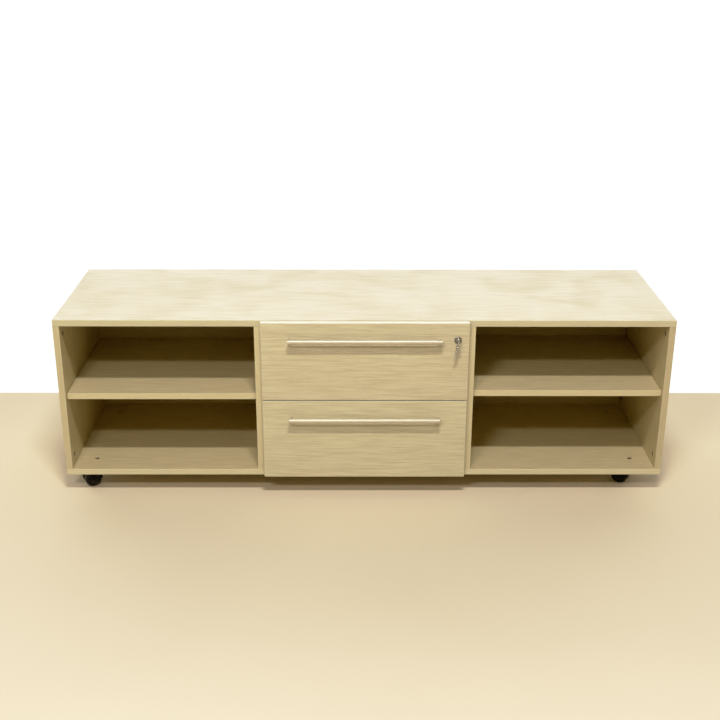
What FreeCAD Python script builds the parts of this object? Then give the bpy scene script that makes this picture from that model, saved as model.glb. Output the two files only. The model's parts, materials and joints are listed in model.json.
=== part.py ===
import FreeCAD, Part
import math
import os
import re
import Sketcher
from FreeCAD import Vector

# A low office sideboard on casters: two open shelf bays with a pair of drawers between them.
# Millimetres. X runs to the right, Y runs from the front to the rear, Z runs up.
# The origin is on the floor, at the middle of the outer box.
# Inside the pieces, Y is counted from the front plane of the carcass.

SIZES = (
    ("cabinet_width", 1800, "outer width of the top and bottom panels"),
    ("cabinet_depth", 500, "depth of the carcass, front plane to rear edge"),
    ("inner_height", 458, "clear height between the bottom and the top panel"),
    ("bay_width", 560, "clear width of each open shelf bay"),
    ("board", 19, "thickness of every board of the carcass and of the fronts"),
    ("arris", 1.0, "rounding along the edges of the boards"),
    ("fit_slack", 0.1, "radial clearance of a fastener in its hole"),
    ("touch_gap", 0.05, "clearance under a piece that rests on a round pin"),
    ("back_thickness", 8, "thickness of the back panel"),
    ("back_setback", 2, "rear edge of the sides to the rear face of the back panel"),
    ("groove_depth", 6, "depth of the groove that holds the back panel"),
    ("groove_slack", 0.3, "clearance of the back panel in its groove"),
    ("shelf_setback", 16, "front plane to the front edge of a shelf"),
    ("shelf_slack", 0.5, "clearance at each end of a shelf and behind it"),
    ("left_shelf_rise", 223, "bottom panel to the underside of the left shelf"),
    ("right_shelf_rise", 233.5, "bottom panel to the underside of the right shelf"),
    ("pin_diameter", 5, "shelf pin inside the board"),
    ("pin_depth", 10, "length of a shelf pin inside the board"),
    ("pin_head_diameter", 7, "shelf pin outside the board"),
    ("pin_head_length", 8, "length of a shelf pin outside the board"),
    ("pin_inset", 50, "shelf pins to the front plane and to the back panel"),
    ("cam_diameter", 15, "cam of a corner fitting"),
    ("cam_depth", 12.5, "length of a cam"),
    ("cam_cover", 2, "closed disc on the visible end of a cam"),
    ("cam_inset", 34, "cam centre to the end of its board"),
    ("fitting_inset", 37, "corner fittings to the front plane and to the rear edge"),
    ("driver_slot_length", 8, "driver slot in a cam"),
    ("driver_slot_width", 1.6, "width of that slot"),
    ("driver_slot_depth", 1.2, "depth of that slot"),
    ("bolt_diameter", 6, "shank of a cam bolt"),
    ("bolt_thread_diameter", 4.8, "thread of a cam bolt"),
    ("bolt_thread_length", 11, "thread of a cam bolt in the top or bottom panel"),
    ("bolt_past_cam", 1.5, "end of a cam bolt past the cam centre"),
    ("dowel_diameter", 8, "wooden dowel"),
    ("dowel_in_panel", 12, "length of a dowel in the top or bottom panel"),
    ("dowel_in_upright", 22, "length of a dowel in a side or divider"),
    ("dowel_spacing", 32, "dowel to the corner fitting beside it"),
    ("hole_extra_depth", 1, "blind holes run this much past their fastener"),
    ("screw_head_diameter", 7, "head of a wood screw"),
    ("screw_head_height", 2.2, "height of a wood screw head that stands proud"),
    ("screw_diameter", 3.6, "shank of a wood screw"),
    ("front_gap", 1, "carcass front plane to the rear of a drawer front"),
    ("front_side_gap", 1, "gap between a divider and a drawer front"),
    ("front_drop", 3, "underside of the bottom panel to the lower front"),
    ("lower_front_height", 249, "height of the lower drawer front"),
    ("front_reveal", 3, "gap between the two fronts"),
    ("front_top_gap", 1.5, "top of the cabinet to the upper front"),
    ("box_rise", 28, "lower edge of a front to the lower edge of its box"),
    ("box_height", 140, "height of a drawer box"),
    ("box_rear_space", 41, "rear of a drawer box to the back panel"),
    ("box_board", 12, "thickness of the box sides and ends"),
    ("box_bottom_rise", 12, "lower edge of a box to its bottom panel"),
    ("box_bottom_thickness", 5, "thickness of the box bottom panel"),
    ("box_groove_depth", 5, "groove in the box boards for the bottom panel"),
    ("box_groove_slack", 0.2, "clearance of the box bottom in its groove"),
    ("runner_thickness", 12.7, "space between a divider and a drawer box"),
    ("runner_height", 45, "height of a cabinet runner"),
    ("runner_rear_space", 38, "rear end of the runners to the back panel"),
    ("runner_inset", 2, "front plane to the front end of the runners"),
    ("runner_sheet", 1.2, "sheet thickness of the runners"),
    ("runner_gap", 0.4, "running clearance between runner members"),
    ("runner_screw_inset", 37, "runner screws to the ends of a runner"),
    ("runner_screw_length", 13, "runner screw in a divider"),
    ("box_screw_cover", 2, "wood left past a runner screw in a box side"),
    ("fixing_side_inset", 77.3, "inner face of a box side to the screws that hold a front"),
    ("fixing_inset", 35, "those screws to the upper and lower edges of the box"),
    ("fixing_depth", 12, "those screws in the front"),
    ("corner_screw_inset", 28, "box corner screws to the upper and lower edges"),
    ("corner_screw_depth", 26, "box corner screws in the end boards"),
    ("handle_inset", 78, "side edge of a front to the end of its handle bar"),
    ("handle_diameter", 14, "diameter of a handle bar"),
    ("handle_standoff", 20, "face of a front to the axis of its handle"),
    ("handle_overhang", 7, "end of a handle bar to its nearest post"),
    ("upper_handle_drop", 50, "upper edge of the upper front to the axis of its handle"),
    ("lower_handle_drop", 55, "upper edge of the lower front to the axis of its handle"),
    ("handle_chamfer", 0.6, "chamfer at the ends of a handle bar"),
    ("post_diameter", 8, "diameter of a handle post"),
    ("handle_screw_diameter", 4, "screw in a handle post"),
    ("handle_screw_head", 8, "head of that screw"),
    ("handle_screw_head_height", 2.6, "height of that head"),
    ("handle_screw_grip", 9, "length of that screw in the post"),
    ("lock_side_inset", 33, "right edge of the upper front to the lock axis"),
    ("lock_drop", 51.5, "upper edge of the upper front to the lock axis"),
    ("rosette_lip", 2, "collar of the lock past its housing"),
    ("rosette_height", 2, "thickness of that collar"),
    ("rosette_round", 0.8, "rounding of that collar"),
    ("barrel_wall", 3, "wall of the lock housing round the plug"),
    ("barrel_tail", 8, "lock housing behind the front"),
    ("lock_nut_wall", 3.5, "lock housing to a corner of its nut"),
    ("lock_nut_height", 4, "thickness of the lock nut"),
    ("plug_diameter", 12, "turning plug of the lock"),
    ("plug_slack", 0.05, "running clearance round the plug and the axles"),
    ("plug_proud", 0.3, "plug in front of the collar"),
    ("plug_tail", 1, "plug behind the housing"),
    ("plug_end_diameter", 8, "end of the plug that carries the cam"),
    ("plug_end_length", 3.5, "length of that end"),
    ("keyway_slack", 0.25, "clearance of the key in the keyway"),
    ("keyway_depth_slack", 4, "keyway past the tip of the key"),
    ("tongue_length", 26, "lock axis to the tip of the locking cam"),
    ("tongue_width", 14, "width of the locking cam"),
    ("tongue_thickness", 2, "thickness of the locking cam"),
    ("keeper_front", 4, "front plane to the keeper behind the upper front"),
    ("keeper_sheet", 1.5, "thickness of the keeper"),
    ("keeper_width", 24, "width of the keeper"),
    ("keeper_depth", 20, "length of the keeper under the top panel"),
    ("keeper_clearance", 14, "lock axis to the lower edge of the keeper"),
    ("keeper_screw_spread", 14, "distance between the keeper screws"),
    ("keeper_screw_diameter", 3, "shank of a keeper screw"),
    ("keeper_screw_head", 6, "head of a keeper screw"),
    ("keeper_screw_length", 12, "keeper screw in the top panel"),
    ("key_sheet", 2, "thickness of a key"),
    ("bow_height", 26, "bow of a key, across"),
    ("bow_length", 22, "bow of a key, along"),
    ("bow_round", 7, "corner radius of the bow"),
    ("bow_hole_diameter", 6, "hole in the bow"),
    ("bow_hole_inset", 6, "end of the bow to the centre of its hole"),
    ("neck_length", 2, "neck between bow and blade"),
    ("neck_height", 9, "height of the neck"),
    ("blade_length", 22, "blade of a key"),
    ("blade_height", 6.8, "height of the blade"),
    ("bit_depth", 1.6, "depth of the cuts in the blade"),
    ("bit_width", 2.6, "width of the cuts in the blade"),
    ("bit_pitch", 4.4, "distance between the cuts"),
    ("ring_radius", 7, "key ring, centre to the middle of the wire"),
    ("ring_wire_radius", 0.8, "radius of the ring wire"),
    ("hang_gap", 0.6, "play of the ring wire under the edge of a bow hole"),
    ("ring_lean", 15, "lean of the key ring to the left, degrees"),
    ("spare_key_lean", 10, "lean of the hanging spare key, degrees"),
    ("caster_side_inset", 78, "swivel axis of a caster to the side of the cabinet"),
    ("caster_end_inset", 74, "swivel axis to the front plane and to the rear edge"),
    ("caster_hole_slack", 1, "clearance round the kingpin collar in the bottom panel"),
    ("wheel_radius", 25, "radius of a caster wheel"),
    ("wheel_width", 17, "width of a caster wheel"),
    ("wheel_round", 2.5, "rounding at the rim of a wheel"),
    ("wheel_gap", 0.5, "clearance between a wheel and the hood"),
    ("dish_radius", 20, "dished face of a wheel"),
    ("dish_depth", 3, "depth of the dish"),
    ("hub_recess", 1, "hub face below the rim of the wheel"),
    ("hub_radius", 8, "radius of the wheel hub"),
    ("trail", 22, "swivel axis to the axle of a caster"),
    ("web_wall", 2, "hood between the kingpin and the wheels"),
    ("fender_gap", 1.5, "wheel to the inside of the hood"),
    ("fender_thickness", 2.5, "wall of the hood over the wheels"),
    ("fender_start", 55, "angle of the rear end of the hood over the trail side"),
    ("fender_sweep", 132, "angle that the hood covers"),
    ("axle_diameter", 6, "axle of a caster"),
    ("axle_head_diameter", 9, "heads of the axle"),
    ("axle_head_height", 1.2, "thickness of the axle heads"),
    ("axle_head_gap", 0.2, "clearance between axle head and hub"),
    ("axle_boss_radius", 7.5, "boss of the hood round the axle"),
    ("pin_block_wall", 4, "hood before and behind the kingpin"),
    ("pin_block_floor", 2, "hood under the kingpin"),
    ("collar_wall", 5, "round collar of the hood, from the kingpin out"),
    ("collar_sink", 2, "that collar below the top of the hood"),
    ("hood_space", 5.5, "top of the hood to the caster plate"),
    ("swivel_gap", 0.3, "clearance between the collar and the plate"),
    ("kingpin_diameter", 8, "swivel pin of a caster"),
    ("kingpin_reach", 23.5, "caster plate to the lower end of the kingpin"),
    ("kingpin_drop", 1, "top of the bottom panel to the top of the kingpin"),
    ("rivet_lip", 2.5, "riveted collar on the plate, past the kingpin"),
    ("rivet_height", 1.5, "thickness of that collar"),
    ("plate_length", 42, "side of the square caster plate"),
    ("plate_thickness", 2.5, "thickness of the caster plate"),
    ("plate_round", 5, "corner radius of the caster plate"),
    ("plate_screw_inset", 5, "caster screws to the edges of their plate"),
    ("plate_screw_length", 14, "caster screw in the bottom panel"),
    ("front_left_swivel", 208, "rest direction of the front left wheels, degrees"),
    ("front_right_swivel", 150, "rest direction of the front right wheels, degrees"),
    ("rear_left_swivel", 194, "rest direction of the rear left wheels, degrees"),
    ("rear_right_swivel", 166, "rest direction of the rear right wheels, degrees"),
)

DOC = FreeCAD.newDocument("sideboard")
SHEET = DOC.addObject("Spreadsheet::Sheet", "Sizes")
for row, (alias, number, note) in enumerate(SIZES, start=1):
    SHEET.set(f"A{row}", alias)
    SHEET.set(f"B{row}", str(number))
    SHEET.setAlias(f"B{row}", alias)
    SHEET.set(f"C{row}", note)
DOC.recompute()

# Heights, counted from the floor
HOOD_TOP = "(2 * wheel_radius + fender_gap + fender_thickness)"
PLATE_LOW = f"({HOOD_TOP} + hood_space)"
PANEL_LOW = f"({PLATE_LOW} + plate_thickness)"
PANEL_TOP = f"({PANEL_LOW} + board)"
CEILING = f"({PANEL_TOP} + inner_height)"
LOWER_FRONT_LOW = f"({PANEL_LOW} + front_drop)"
LOWER_FRONT_TOP = f"({LOWER_FRONT_LOW} + lower_front_height)"
UPPER_FRONT_LOW = f"({LOWER_FRONT_TOP} + front_reveal)"
UPPER_FRONT_TOP = f"({CEILING} + board - front_top_gap)"
LOCK_Z = f"({UPPER_FRONT_TOP} - lock_drop)"

# Distances to the middle of the cabinet
CABINET_HALF = "(cabinet_width / 2)"
SIDE_INNER = "(cabinet_width / 2 - board)"
DIVIDER_OUTER = f"({SIDE_INNER} - bay_width)"
DIVIDER_INNER = f"({DIVIDER_OUTER} - board)"
BOX_HALF = f"({DIVIDER_INNER} - runner_thickness)"
BOX_INNER = f"({BOX_HALF} - box_board)"
FRONT_HALF = f"({DIVIDER_INNER} - front_side_gap)"
LOCK_X = f"({FRONT_HALF} - lock_side_inset)"

# Distances behind the front plane of the carcass
BACK_FACE = "(cabinet_depth - back_setback - back_thickness)"
FRONT_REAR = "(0 - front_gap)"
FRONT_FACE = "(0 - front_gap - board)"
BOX_END = f"({BACK_FACE} - box_rear_space)"
RUNNER_END = f"({BACK_FACE} - runner_rear_space)"
RUNNER_LENGTH = f"({RUNNER_END} - runner_inset)"
HANDLE_AXIS = "(0 - front_gap - board - handle_standoff)"
HANDLE_HALF = f"({FRONT_HALF} - handle_inset)"
POST_X = f"({HANDLE_HALF} - handle_overhang)"
BARREL_END = "(barrel_tail - front_gap)"
BARREL = "(plug_diameter + 2 * barrel_wall)"
PLUG_FACE = f"({FRONT_FACE} - rosette_height - plug_proud)"
PLUG_SHOULDER = f"({BARREL_END} + plug_tail)"
KEY_HOLE_Y = f"({PLUG_FACE} - neck_length - bow_length + bow_hole_inset)"

# Casters
WEB_WIDTH = "(kingpin_diameter + 2 * web_wall)"
WHEEL_INNER = f"({WEB_WIDTH} / 2 + wheel_gap)"
WHEEL_OUTER = f"({WHEEL_INNER} + wheel_width)"
COLLAR_TOP = f"({PLATE_LOW} - swivel_gap)"
KINGPIN_LOW = f"({PLATE_LOW} - kingpin_reach)"
RIVET = "(kingpin_diameter + 2 * rivet_lip)"

# The outer box reaches from the handles to the rear edge, and the origin is at its middle
FRONT_PLANE = "((front_gap + board + handle_standoff + handle_diameter / 2 - cabinet_depth) / 2)"

FITTING_YS = ("fitting_inset", "cabinet_depth - fitting_inset")
DOWEL_YS = (
    "fitting_inset + dowel_spacing",
    "cabinet_depth - fitting_inset - dowel_spacing",
)
PIN_YS = ("pin_inset", f"{BACK_FACE} - pin_inset")
RUNNER_SCREW_YS = (
    "runner_inset + runner_screw_inset",
    f"{RUNNER_END} - runner_screw_inset",
)
SIDES = (("left", -1), ("right", 1))

PLANES = {"x": ("YZ_Plane", 1), "y": ("XZ_Plane", -1), "z": ("XY_Plane", 1)}
ALIASES = {alias for alias, number, note in SIZES}
WORD = re.compile(r"[a-z_]+")
PIECES = []


def bind(thing, setting, text):
    """Drive one setting from the sheet, with every size name pointed at its cell."""
    def cell(found):
        word = found.group()
        return f"Sizes.{word}" if word in ALIASES else word
    thing.setExpression(setting, WORD.sub(cell, str(text)))


def signed(side, text):
    """The same distance on the left (side -1) or on the right (side 1)."""
    return text if side > 0 else f"(0 - {text})"


def rectangle(low, high):
    """The four corners of a rectangle, from two opposite ones."""
    return (low, (high[0], low[1]), high, (low[0], high[1]))


def new_body(label, standing=True):
    """A body whose own frame has Y counted from the front plane of the carcass."""
    body = DOC.addObject("PartDesign::Body", label)
    body.Label = label
    if standing:
        bind(body, "Placement.Base.y", FRONT_PLANE)
    PIECES.append(body)
    return body


def new_sketch(body, axis, at):
    """A sketch square to an axis, at a place along it."""
    role, facing = PLANES[axis]
    flat = body.newObject("Sketcher::SketchObject", f"{body.Name}_sketch")
    plane = next(item for item in body.Origin.OriginFeatures if item.Role == role)
    flat.AttachmentSupport = [(plane, "")]
    flat.MapMode = "FlatFace"
    bind(flat, "AttachmentOffset.Base.z", at if facing > 0 else f"0 - ({at})")
    return flat


def fix_point(flat, curve, end, place):
    """Tie a point of a sketch to its two coordinates."""
    for kind, text in zip(("DistanceX", "DistanceY"), place):
        number = flat.addConstraint(Sketcher.Constraint(kind, -1, 1, curve, end, 1.0))
        name = f"{kind}_{curve}"
        flat.renameConstraint(number, name)
        bind(flat, f"Constraints.{name}", text)


def draw_polygon(flat, points):
    """A closed outline with every corner tied to its coordinates."""
    count = len(points)
    start = flat.GeometryCount
    rough = [
        Vector(math.cos(2 * math.pi * turn / count), math.sin(2 * math.pi * turn / count), 0)
        for turn in range(count)
    ]
    for turn in range(count):
        flat.addGeometry(Part.LineSegment(rough[turn], rough[(turn + 1) % count]))
    for turn in range(count):
        after = start + (turn + 1) % count
        flat.addConstraint(Sketcher.Constraint("Coincident", start + turn, 2, after, 1))
    for turn, place in enumerate(points):
        fix_point(flat, start + turn, 1, place)


def draw_circle(flat, place, diameter):
    """A circle with its centre and diameter tied."""
    circle = flat.addGeometry(Part.Circle(Vector(0, 0, 0), Vector(0, 0, 1), 1.0))
    fix_point(flat, circle, 3, place)
    number = flat.addConstraint(Sketcher.Constraint("Diameter", circle, 2.0))
    flat.renameConstraint(number, f"Diameter_{circle}")
    bind(flat, f"Constraints.Diameter_{circle}", diameter)


def pad(body, axis, at, outlines, length, toward=1, circles=()):
    """Grow outlines and circles along an axis, towards its plus or its minus end."""
    flat = new_sketch(body, axis, at)
    for outline in outlines:
        draw_polygon(flat, outline)
    for place, diameter in circles:
        draw_circle(flat, place, diameter)
    feature = body.newObject("PartDesign::Pad", f"{body.Name}_pad")
    feature.Profile = flat
    feature.Reversed = toward != PLANES[axis][1]
    bind(feature, "Length", length)
    DOC.recompute()
    return feature


def cut(body, axis, at, outlines, depth, toward=1, circles=()):
    """Take outlines and circles out along an axis, and make sure that something went."""
    before = body.Shape.Volume
    flat = new_sketch(body, axis, at)
    for outline in outlines:
        draw_polygon(flat, outline)
    for place, diameter in circles:
        draw_circle(flat, place, diameter)
    feature = body.newObject("PartDesign::Pocket", f"{body.Name}_pocket")
    feature.Profile = flat
    feature.Reversed = toward == PLANES[axis][1]
    bind(feature, "Length", depth)
    DOC.recompute()
    if not body.Shape.Volume < before:
        raise RuntimeError(f"{body.Label}: {feature.Name} takes nothing away")
    return feature


def edges_where(shape, wanted):
    """The names of the edges that a test picks."""
    return [f"Edge{number}" for number, edge in enumerate(shape.Edges, start=1) if wanted(edge)]


def soften(body, radius="arris", wanted=None, kind="PartDesign::Fillet"):
    """Round or chamfer the edges of a body: all of them, or those that a test picks."""
    base = body.Tip
    feature = body.newObject(kind, f"{body.Name}_edges")
    feature.Base = (base, edges_where(base.Shape, wanted) if wanted else [""])
    feature.UseAllEdges = wanted is None
    bind(feature, "Radius" if kind == "PartDesign::Fillet" else "Size", radius)
    DOC.recompute()
    return feature


def runs_along(edge, direction):
    """Whether an edge is straight and runs along a direction."""
    return isinstance(edge.Curve, Part.Line) and abs(edge.Curve.Direction.dot(direction)) > 0.999


def front_edge(body):
    """A test for the upright edges at the front of a board."""
    front = body.Shape.BoundBox.YMin - body.Placement.Base.y
    up = Vector(0, 0, 1)
    return lambda edge: runs_along(edge, up) and abs(edge.CenterOfMass.y - front) < 0.01


def round_edge(edge):
    """A test for round edges."""
    return isinstance(edge.Curve, Part.Circle)


def board_piece(label, axis, at, low, high, thickness, toward=1):
    """A flat board square to an axis."""
    body = new_body(label)
    pad(body, axis, at, [rectangle(low, high)], thickness, toward)
    return body


def upright_centres():
    """Where the middles of the two sides and the two dividers stand."""
    return [
        signed(side, f"({face} + board / 2)")
        for name, side in SIDES
        for face in (SIDE_INNER, DIVIDER_INNER)
    ]


def caster_places():
    """Name, left or right, swivel axis and rest direction of each caster."""
    for end, place in (("front", "caster_end_inset"), ("rear", "cabinet_depth - caster_end_inset")):
        for name, side in SIDES:
            across = signed(side, f"({CABINET_HALF} - caster_side_inset)")
            yield f"{end}_{name}", across, place, f"{end}_{name}_swivel"


def plate_screw_places():
    """The four screws of each caster plate."""
    inset = "(plate_length / 2 - plate_screw_inset)"
    return [
        (f"{across} + {turn_x} * {inset}", f"{place} + {turn_y} * {inset}")
        for name, across, place, swivel in caster_places()
        for turn_x in (-1, 1)
        for turn_y in (-1, 1)
    ]


def keeper_screw_places():
    """The two screws of the keeper under the top panel."""
    middle = "keeper_front + keeper_depth / 2"
    return [(f"{LOCK_X} + {turn} * keeper_screw_spread / 2", middle) for turn in (-1, 1)]


def joint_bores(body, face, toward):
    """Bolt and dowel holes in the top or the bottom panel, from the face that meets the uprights."""
    bolts = [((x, y), "bolt_thread_diameter + 2 * fit_slack") for x in upright_centres() for y in FITTING_YS]
    dowels = [((x, y), "dowel_diameter + 2 * fit_slack") for x in upright_centres() for y in DOWEL_YS]
    cut(body, "z", face, [], "bolt_thread_length + hole_extra_depth", toward, bolts)
    cut(body, "z", face, [], "dowel_in_panel + hole_extra_depth / 2", toward, dowels)


def back_groove_outline(low, high):
    """The groove for the back panel, seen square to its length."""
    return rectangle(
        (low, f"{BACK_FACE} - groove_slack"),
        (high, f"{BACK_FACE} + back_thickness + groove_slack"),
    )


def top_and_bottom():
    """The two full-width panels, with the groove for the back and the holes for all fasteners."""
    low = (f"0 - {CABINET_HALF}", "0")
    high = (CABINET_HALF, "cabinet_depth")
    groove = back_groove_outline(f"0 - {SIDE_INNER} - groove_depth", f"{SIDE_INNER} + groove_depth")

    top = board_piece("top_panel", "z", CEILING, low, high, "board")
    soften(top)
    cut(top, "z", CEILING, [groove], "groove_depth")
    joint_bores(top, CEILING, 1)
    screws = [(place, "keeper_screw_diameter + 2 * fit_slack") for place in keeper_screw_places()]
    cut(top, "z", CEILING, [], "keeper_screw_length + hole_extra_depth", 1, screws)

    bottom = board_piece("bottom_panel", "z", PANEL_LOW, low, high, "board")
    soften(bottom)
    cut(bottom, "z", PANEL_TOP, [groove], "groove_depth", -1)
    joint_bores(bottom, PANEL_TOP, -1)
    pins = [((x, y), f"{RIVET} + 2 * caster_hole_slack") for name, x, y, swivel in caster_places()]
    cut(bottom, "z", PANEL_LOW, [], "board", 1, pins)
    screws = [(place, "screw_diameter + 2 * fit_slack") for place in plate_screw_places()]
    cut(bottom, "z", PANEL_LOW, [], "plate_screw_length + hole_extra_depth", 1, screws)


def shelf_rise(name):
    """The underside of a shelf, from the floor."""
    return f"({PANEL_TOP} + {name}_shelf_rise)"


def pin_height(name):
    """The axis of the pins under a shelf."""
    return f"({shelf_rise(name)} - pin_head_diameter / 2 - touch_gap)"


def cam_places():
    """The cams in one upright, seen from the side."""
    heights = (f"{PANEL_TOP} + cam_inset", f"{CEILING} - cam_inset")
    return [(y, z) for y in FITTING_YS for z in heights]


def upright(label, name, side, face, depth, bay_face, bay_toward):
    """A side or a divider: cams in the face towards the middle, shelf pins in the face of the bay."""
    near = signed(side, face)
    body = board_piece(label, "x", near, ("0", PANEL_TOP), (depth, CEILING), "board", side)
    soften(body, wanted=front_edge(body))
    cams = [(place, "cam_diameter + 2 * fit_slack") for place in cam_places()]
    cut(body, "x", near, [], "cam_depth + fit_slack", side, cams)
    middle = signed(side, f"({face} + board / 2)")
    bolts = [((middle, y), "bolt_diameter + 10 * fit_slack") for y in FITTING_YS]
    dowels = [((middle, y), "dowel_diameter + 2 * fit_slack") for y in DOWEL_YS]
    for end, toward in ((PANEL_TOP, 1), (CEILING, -1)):
        cut(body, "z", end, [], "cam_inset + bolt_past_cam + hole_extra_depth / 2", toward, bolts)
        cut(body, "z", end, [], "dowel_in_upright + hole_extra_depth", toward, dowels)
    pins = [((y, pin_height(name)), "pin_diameter + 2 * fit_slack") for y in PIN_YS]
    cut(body, "x", signed(side, bay_face), [], "pin_depth + hole_extra_depth / 5", bay_toward, pins)
    return body


def uprights():
    """The two sides, grooved for the back panel, and the two dividers, drilled for the runners."""
    for name, side in SIDES:
        panel = upright(f"{name}_side_panel", name, side, SIDE_INNER, "cabinet_depth", SIDE_INNER, side)
        groove = rectangle(
            (f"{BACK_FACE} - groove_slack", PANEL_TOP),
            (f"{BACK_FACE} + back_thickness + groove_slack", CEILING),
        )
        cut(panel, "x", signed(side, SIDE_INNER), [groove], "groove_depth", side)

        divider = upright(f"{name}_divider", name, side, DIVIDER_INNER, BACK_FACE, DIVIDER_OUTER, -side)
        screws = [
            ((y, runner_axis(low)), "screw_diameter + 2 * fit_slack")
            for y in RUNNER_SCREW_YS
            for low in (LOWER_FRONT_LOW, UPPER_FRONT_LOW)
        ]
        depth = "runner_screw_length + hole_extra_depth"
        cut(divider, "x", signed(side, DIVIDER_INNER), [], depth, side, screws)


def back_and_shelves():
    """The back panel in its grooves, and one loose shelf in each bay."""
    reach = f"({SIDE_INNER} + groove_depth - groove_slack)"
    tongue = "(groove_depth - groove_slack)"
    board_piece(
        "back_panel", "y", BACK_FACE,
        (f"0 - {reach}", f"{PANEL_TOP} - {tongue}"), (reach, f"{CEILING} + {tongue}"),
        "back_thickness",
    )
    for name, side in SIDES:
        near_end = signed(side, f"({DIVIDER_OUTER} + shelf_slack)")
        far_end = signed(side, f"({SIDE_INNER} - shelf_slack)")
        shelf = board_piece(
            f"{name}_shelf", "z", shelf_rise(name),
            (near_end, "shelf_setback"), (far_end, f"{BACK_FACE} - shelf_slack"), "board",
        )
        soften(shelf)


def shelf_pins():
    """Eight stepped steel pins, four under each shelf."""
    body = new_body("shelf_pins")
    for name, side in SIDES:
        for face, inward in ((SIDE_INNER, -1), (DIVIDER_OUTER, 1)):
            at = signed(side, face)
            pegs = [((y, pin_height(name)), "pin_diameter") for y in PIN_YS]
            heads = [((y, pin_height(name)), "pin_head_diameter") for y in PIN_YS]
            pad(body, "x", at, [], "pin_depth", -inward * side, pegs)
            pad(body, "x", at, [], "pin_head_length", inward * side, heads)


def cam_locks():
    """The cams of the corner fittings, each open towards its bolt and slotted for a driver."""
    body = new_body("cam_locks")
    half = "(bolt_diameter / 2 + 6 * fit_slack)"
    past = f"(bolt_past_cam + {half} / 2)"
    for name, side in SIDES:
        for face in (SIDE_INNER, DIVIDER_INNER):
            near = signed(side, face)
            pad(body, "x", near, [], "cam_depth", side, [(place, "cam_diameter") for place in cam_places()])
            mouths = []
            for y in FITTING_YS:
                front = f"{y} - {half}"
                rear = f"{y} + {half}"
                low = f"{PANEL_TOP} + cam_inset"
                high = f"{CEILING} - cam_inset"
                mouths.append(rectangle((front, f"{low} - cam_diameter"), (rear, f"{low} + {past}")))
                mouths.append(rectangle((front, f"{high} - {past}"), (rear, f"{high} + cam_diameter")))
            cut(body, "x", signed(side, f"({face} + cam_cover)"), mouths, "cam_depth", side)
            slots = [
                rectangle(
                    (f"{y} - driver_slot_length / 2", f"{z} - driver_slot_width / 2"),
                    (f"{y} + driver_slot_length / 2", f"{z} + driver_slot_width / 2"),
                )
                for y, z in cam_places()
            ]
            cut(body, "x", near, slots, "driver_slot_depth", side)


def cam_bolts_and_dowels():
    """The bolts that the cams draw tight, and the wooden dowels beside them."""
    bolts = new_body("cam_bolts")
    dowels = new_body("dowels")
    for face, toward in ((PANEL_TOP, -1), (CEILING, 1)):
        places = [(x, y) for x in upright_centres() for y in FITTING_YS]
        threads = [(place, "bolt_thread_diameter") for place in places]
        pad(bolts, "z", face, [], "bolt_thread_length", toward, threads)
        shanks = [(place, "bolt_diameter") for place in places]
        pad(bolts, "z", face, [], "cam_inset + bolt_past_cam", -toward, shanks)
        pegs = [((x, y), "dowel_diameter") for x in upright_centres() for y in DOWEL_YS]
        pad(dowels, "z", face, [], "dowel_in_panel", toward, pegs)
        pad(dowels, "z", face, [], "dowel_in_upright", -toward, pegs)


def runner_axis(front_low):
    """The mid height of the runners of a drawer."""
    return f"({front_low} + box_rise + box_height / 2)"


def channel(side, web_at, web_inward, tip_at, half_height, middle):
    """A runner section: an upright web with a flange above and below. Distances are from the divider."""
    def across(distance):
        return signed(side, f"({DIVIDER_INNER} - ({distance}))")
    outer = across(web_at)
    inner = across(web_inward)
    tip = across(tip_at)
    high = f"{middle} + {half_height}"
    low = f"{middle} - ({half_height})"
    return (
        (outer, low), (outer, high), (tip, high), (tip, f"{high} - runner_sheet"),
        (inner, f"{high} - runner_sheet"), (inner, f"{low} + runner_sheet"),
        (tip, f"{low} + runner_sheet"), (tip, low),
    )


def cabinet_section(side, middle):
    """The member that is screwed to the divider."""
    tip = "runner_thickness - runner_sheet - runner_gap"
    return channel(side, "0", "runner_sheet", tip, "runner_height / 2", middle)


def middle_section(side, middle):
    """The member that runs inside it and goes half as far as the drawer."""
    web = "runner_sheet + runner_gap"
    tip = "runner_thickness - runner_sheet - runner_gap"
    half = "(runner_height / 2 - runner_sheet - runner_gap)"
    return channel(side, web, f"{web} + runner_sheet", tip, half, middle)


def drawer_section(side, middle):
    """The member that is screwed to the drawer box."""
    half = "(runner_height / 2 - 2 * runner_sheet - 2 * runner_gap)"
    web = "runner_thickness - runner_sheet"
    return channel(side, "runner_thickness", web, "2 * runner_sheet + 2 * runner_gap", half, middle)


def runner_screw_holes(body, side, web_at, heights):
    """Holes in a runner web that take the screw heads flush."""
    heads = [((y, z), "screw_head_diameter + 2 * fit_slack") for y in RUNNER_SCREW_YS for z in heights]
    cut(body, "x", signed(side, f"({DIVIDER_INNER} - ({web_at}))"), [], "runner_sheet", -side, heads)


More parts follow.
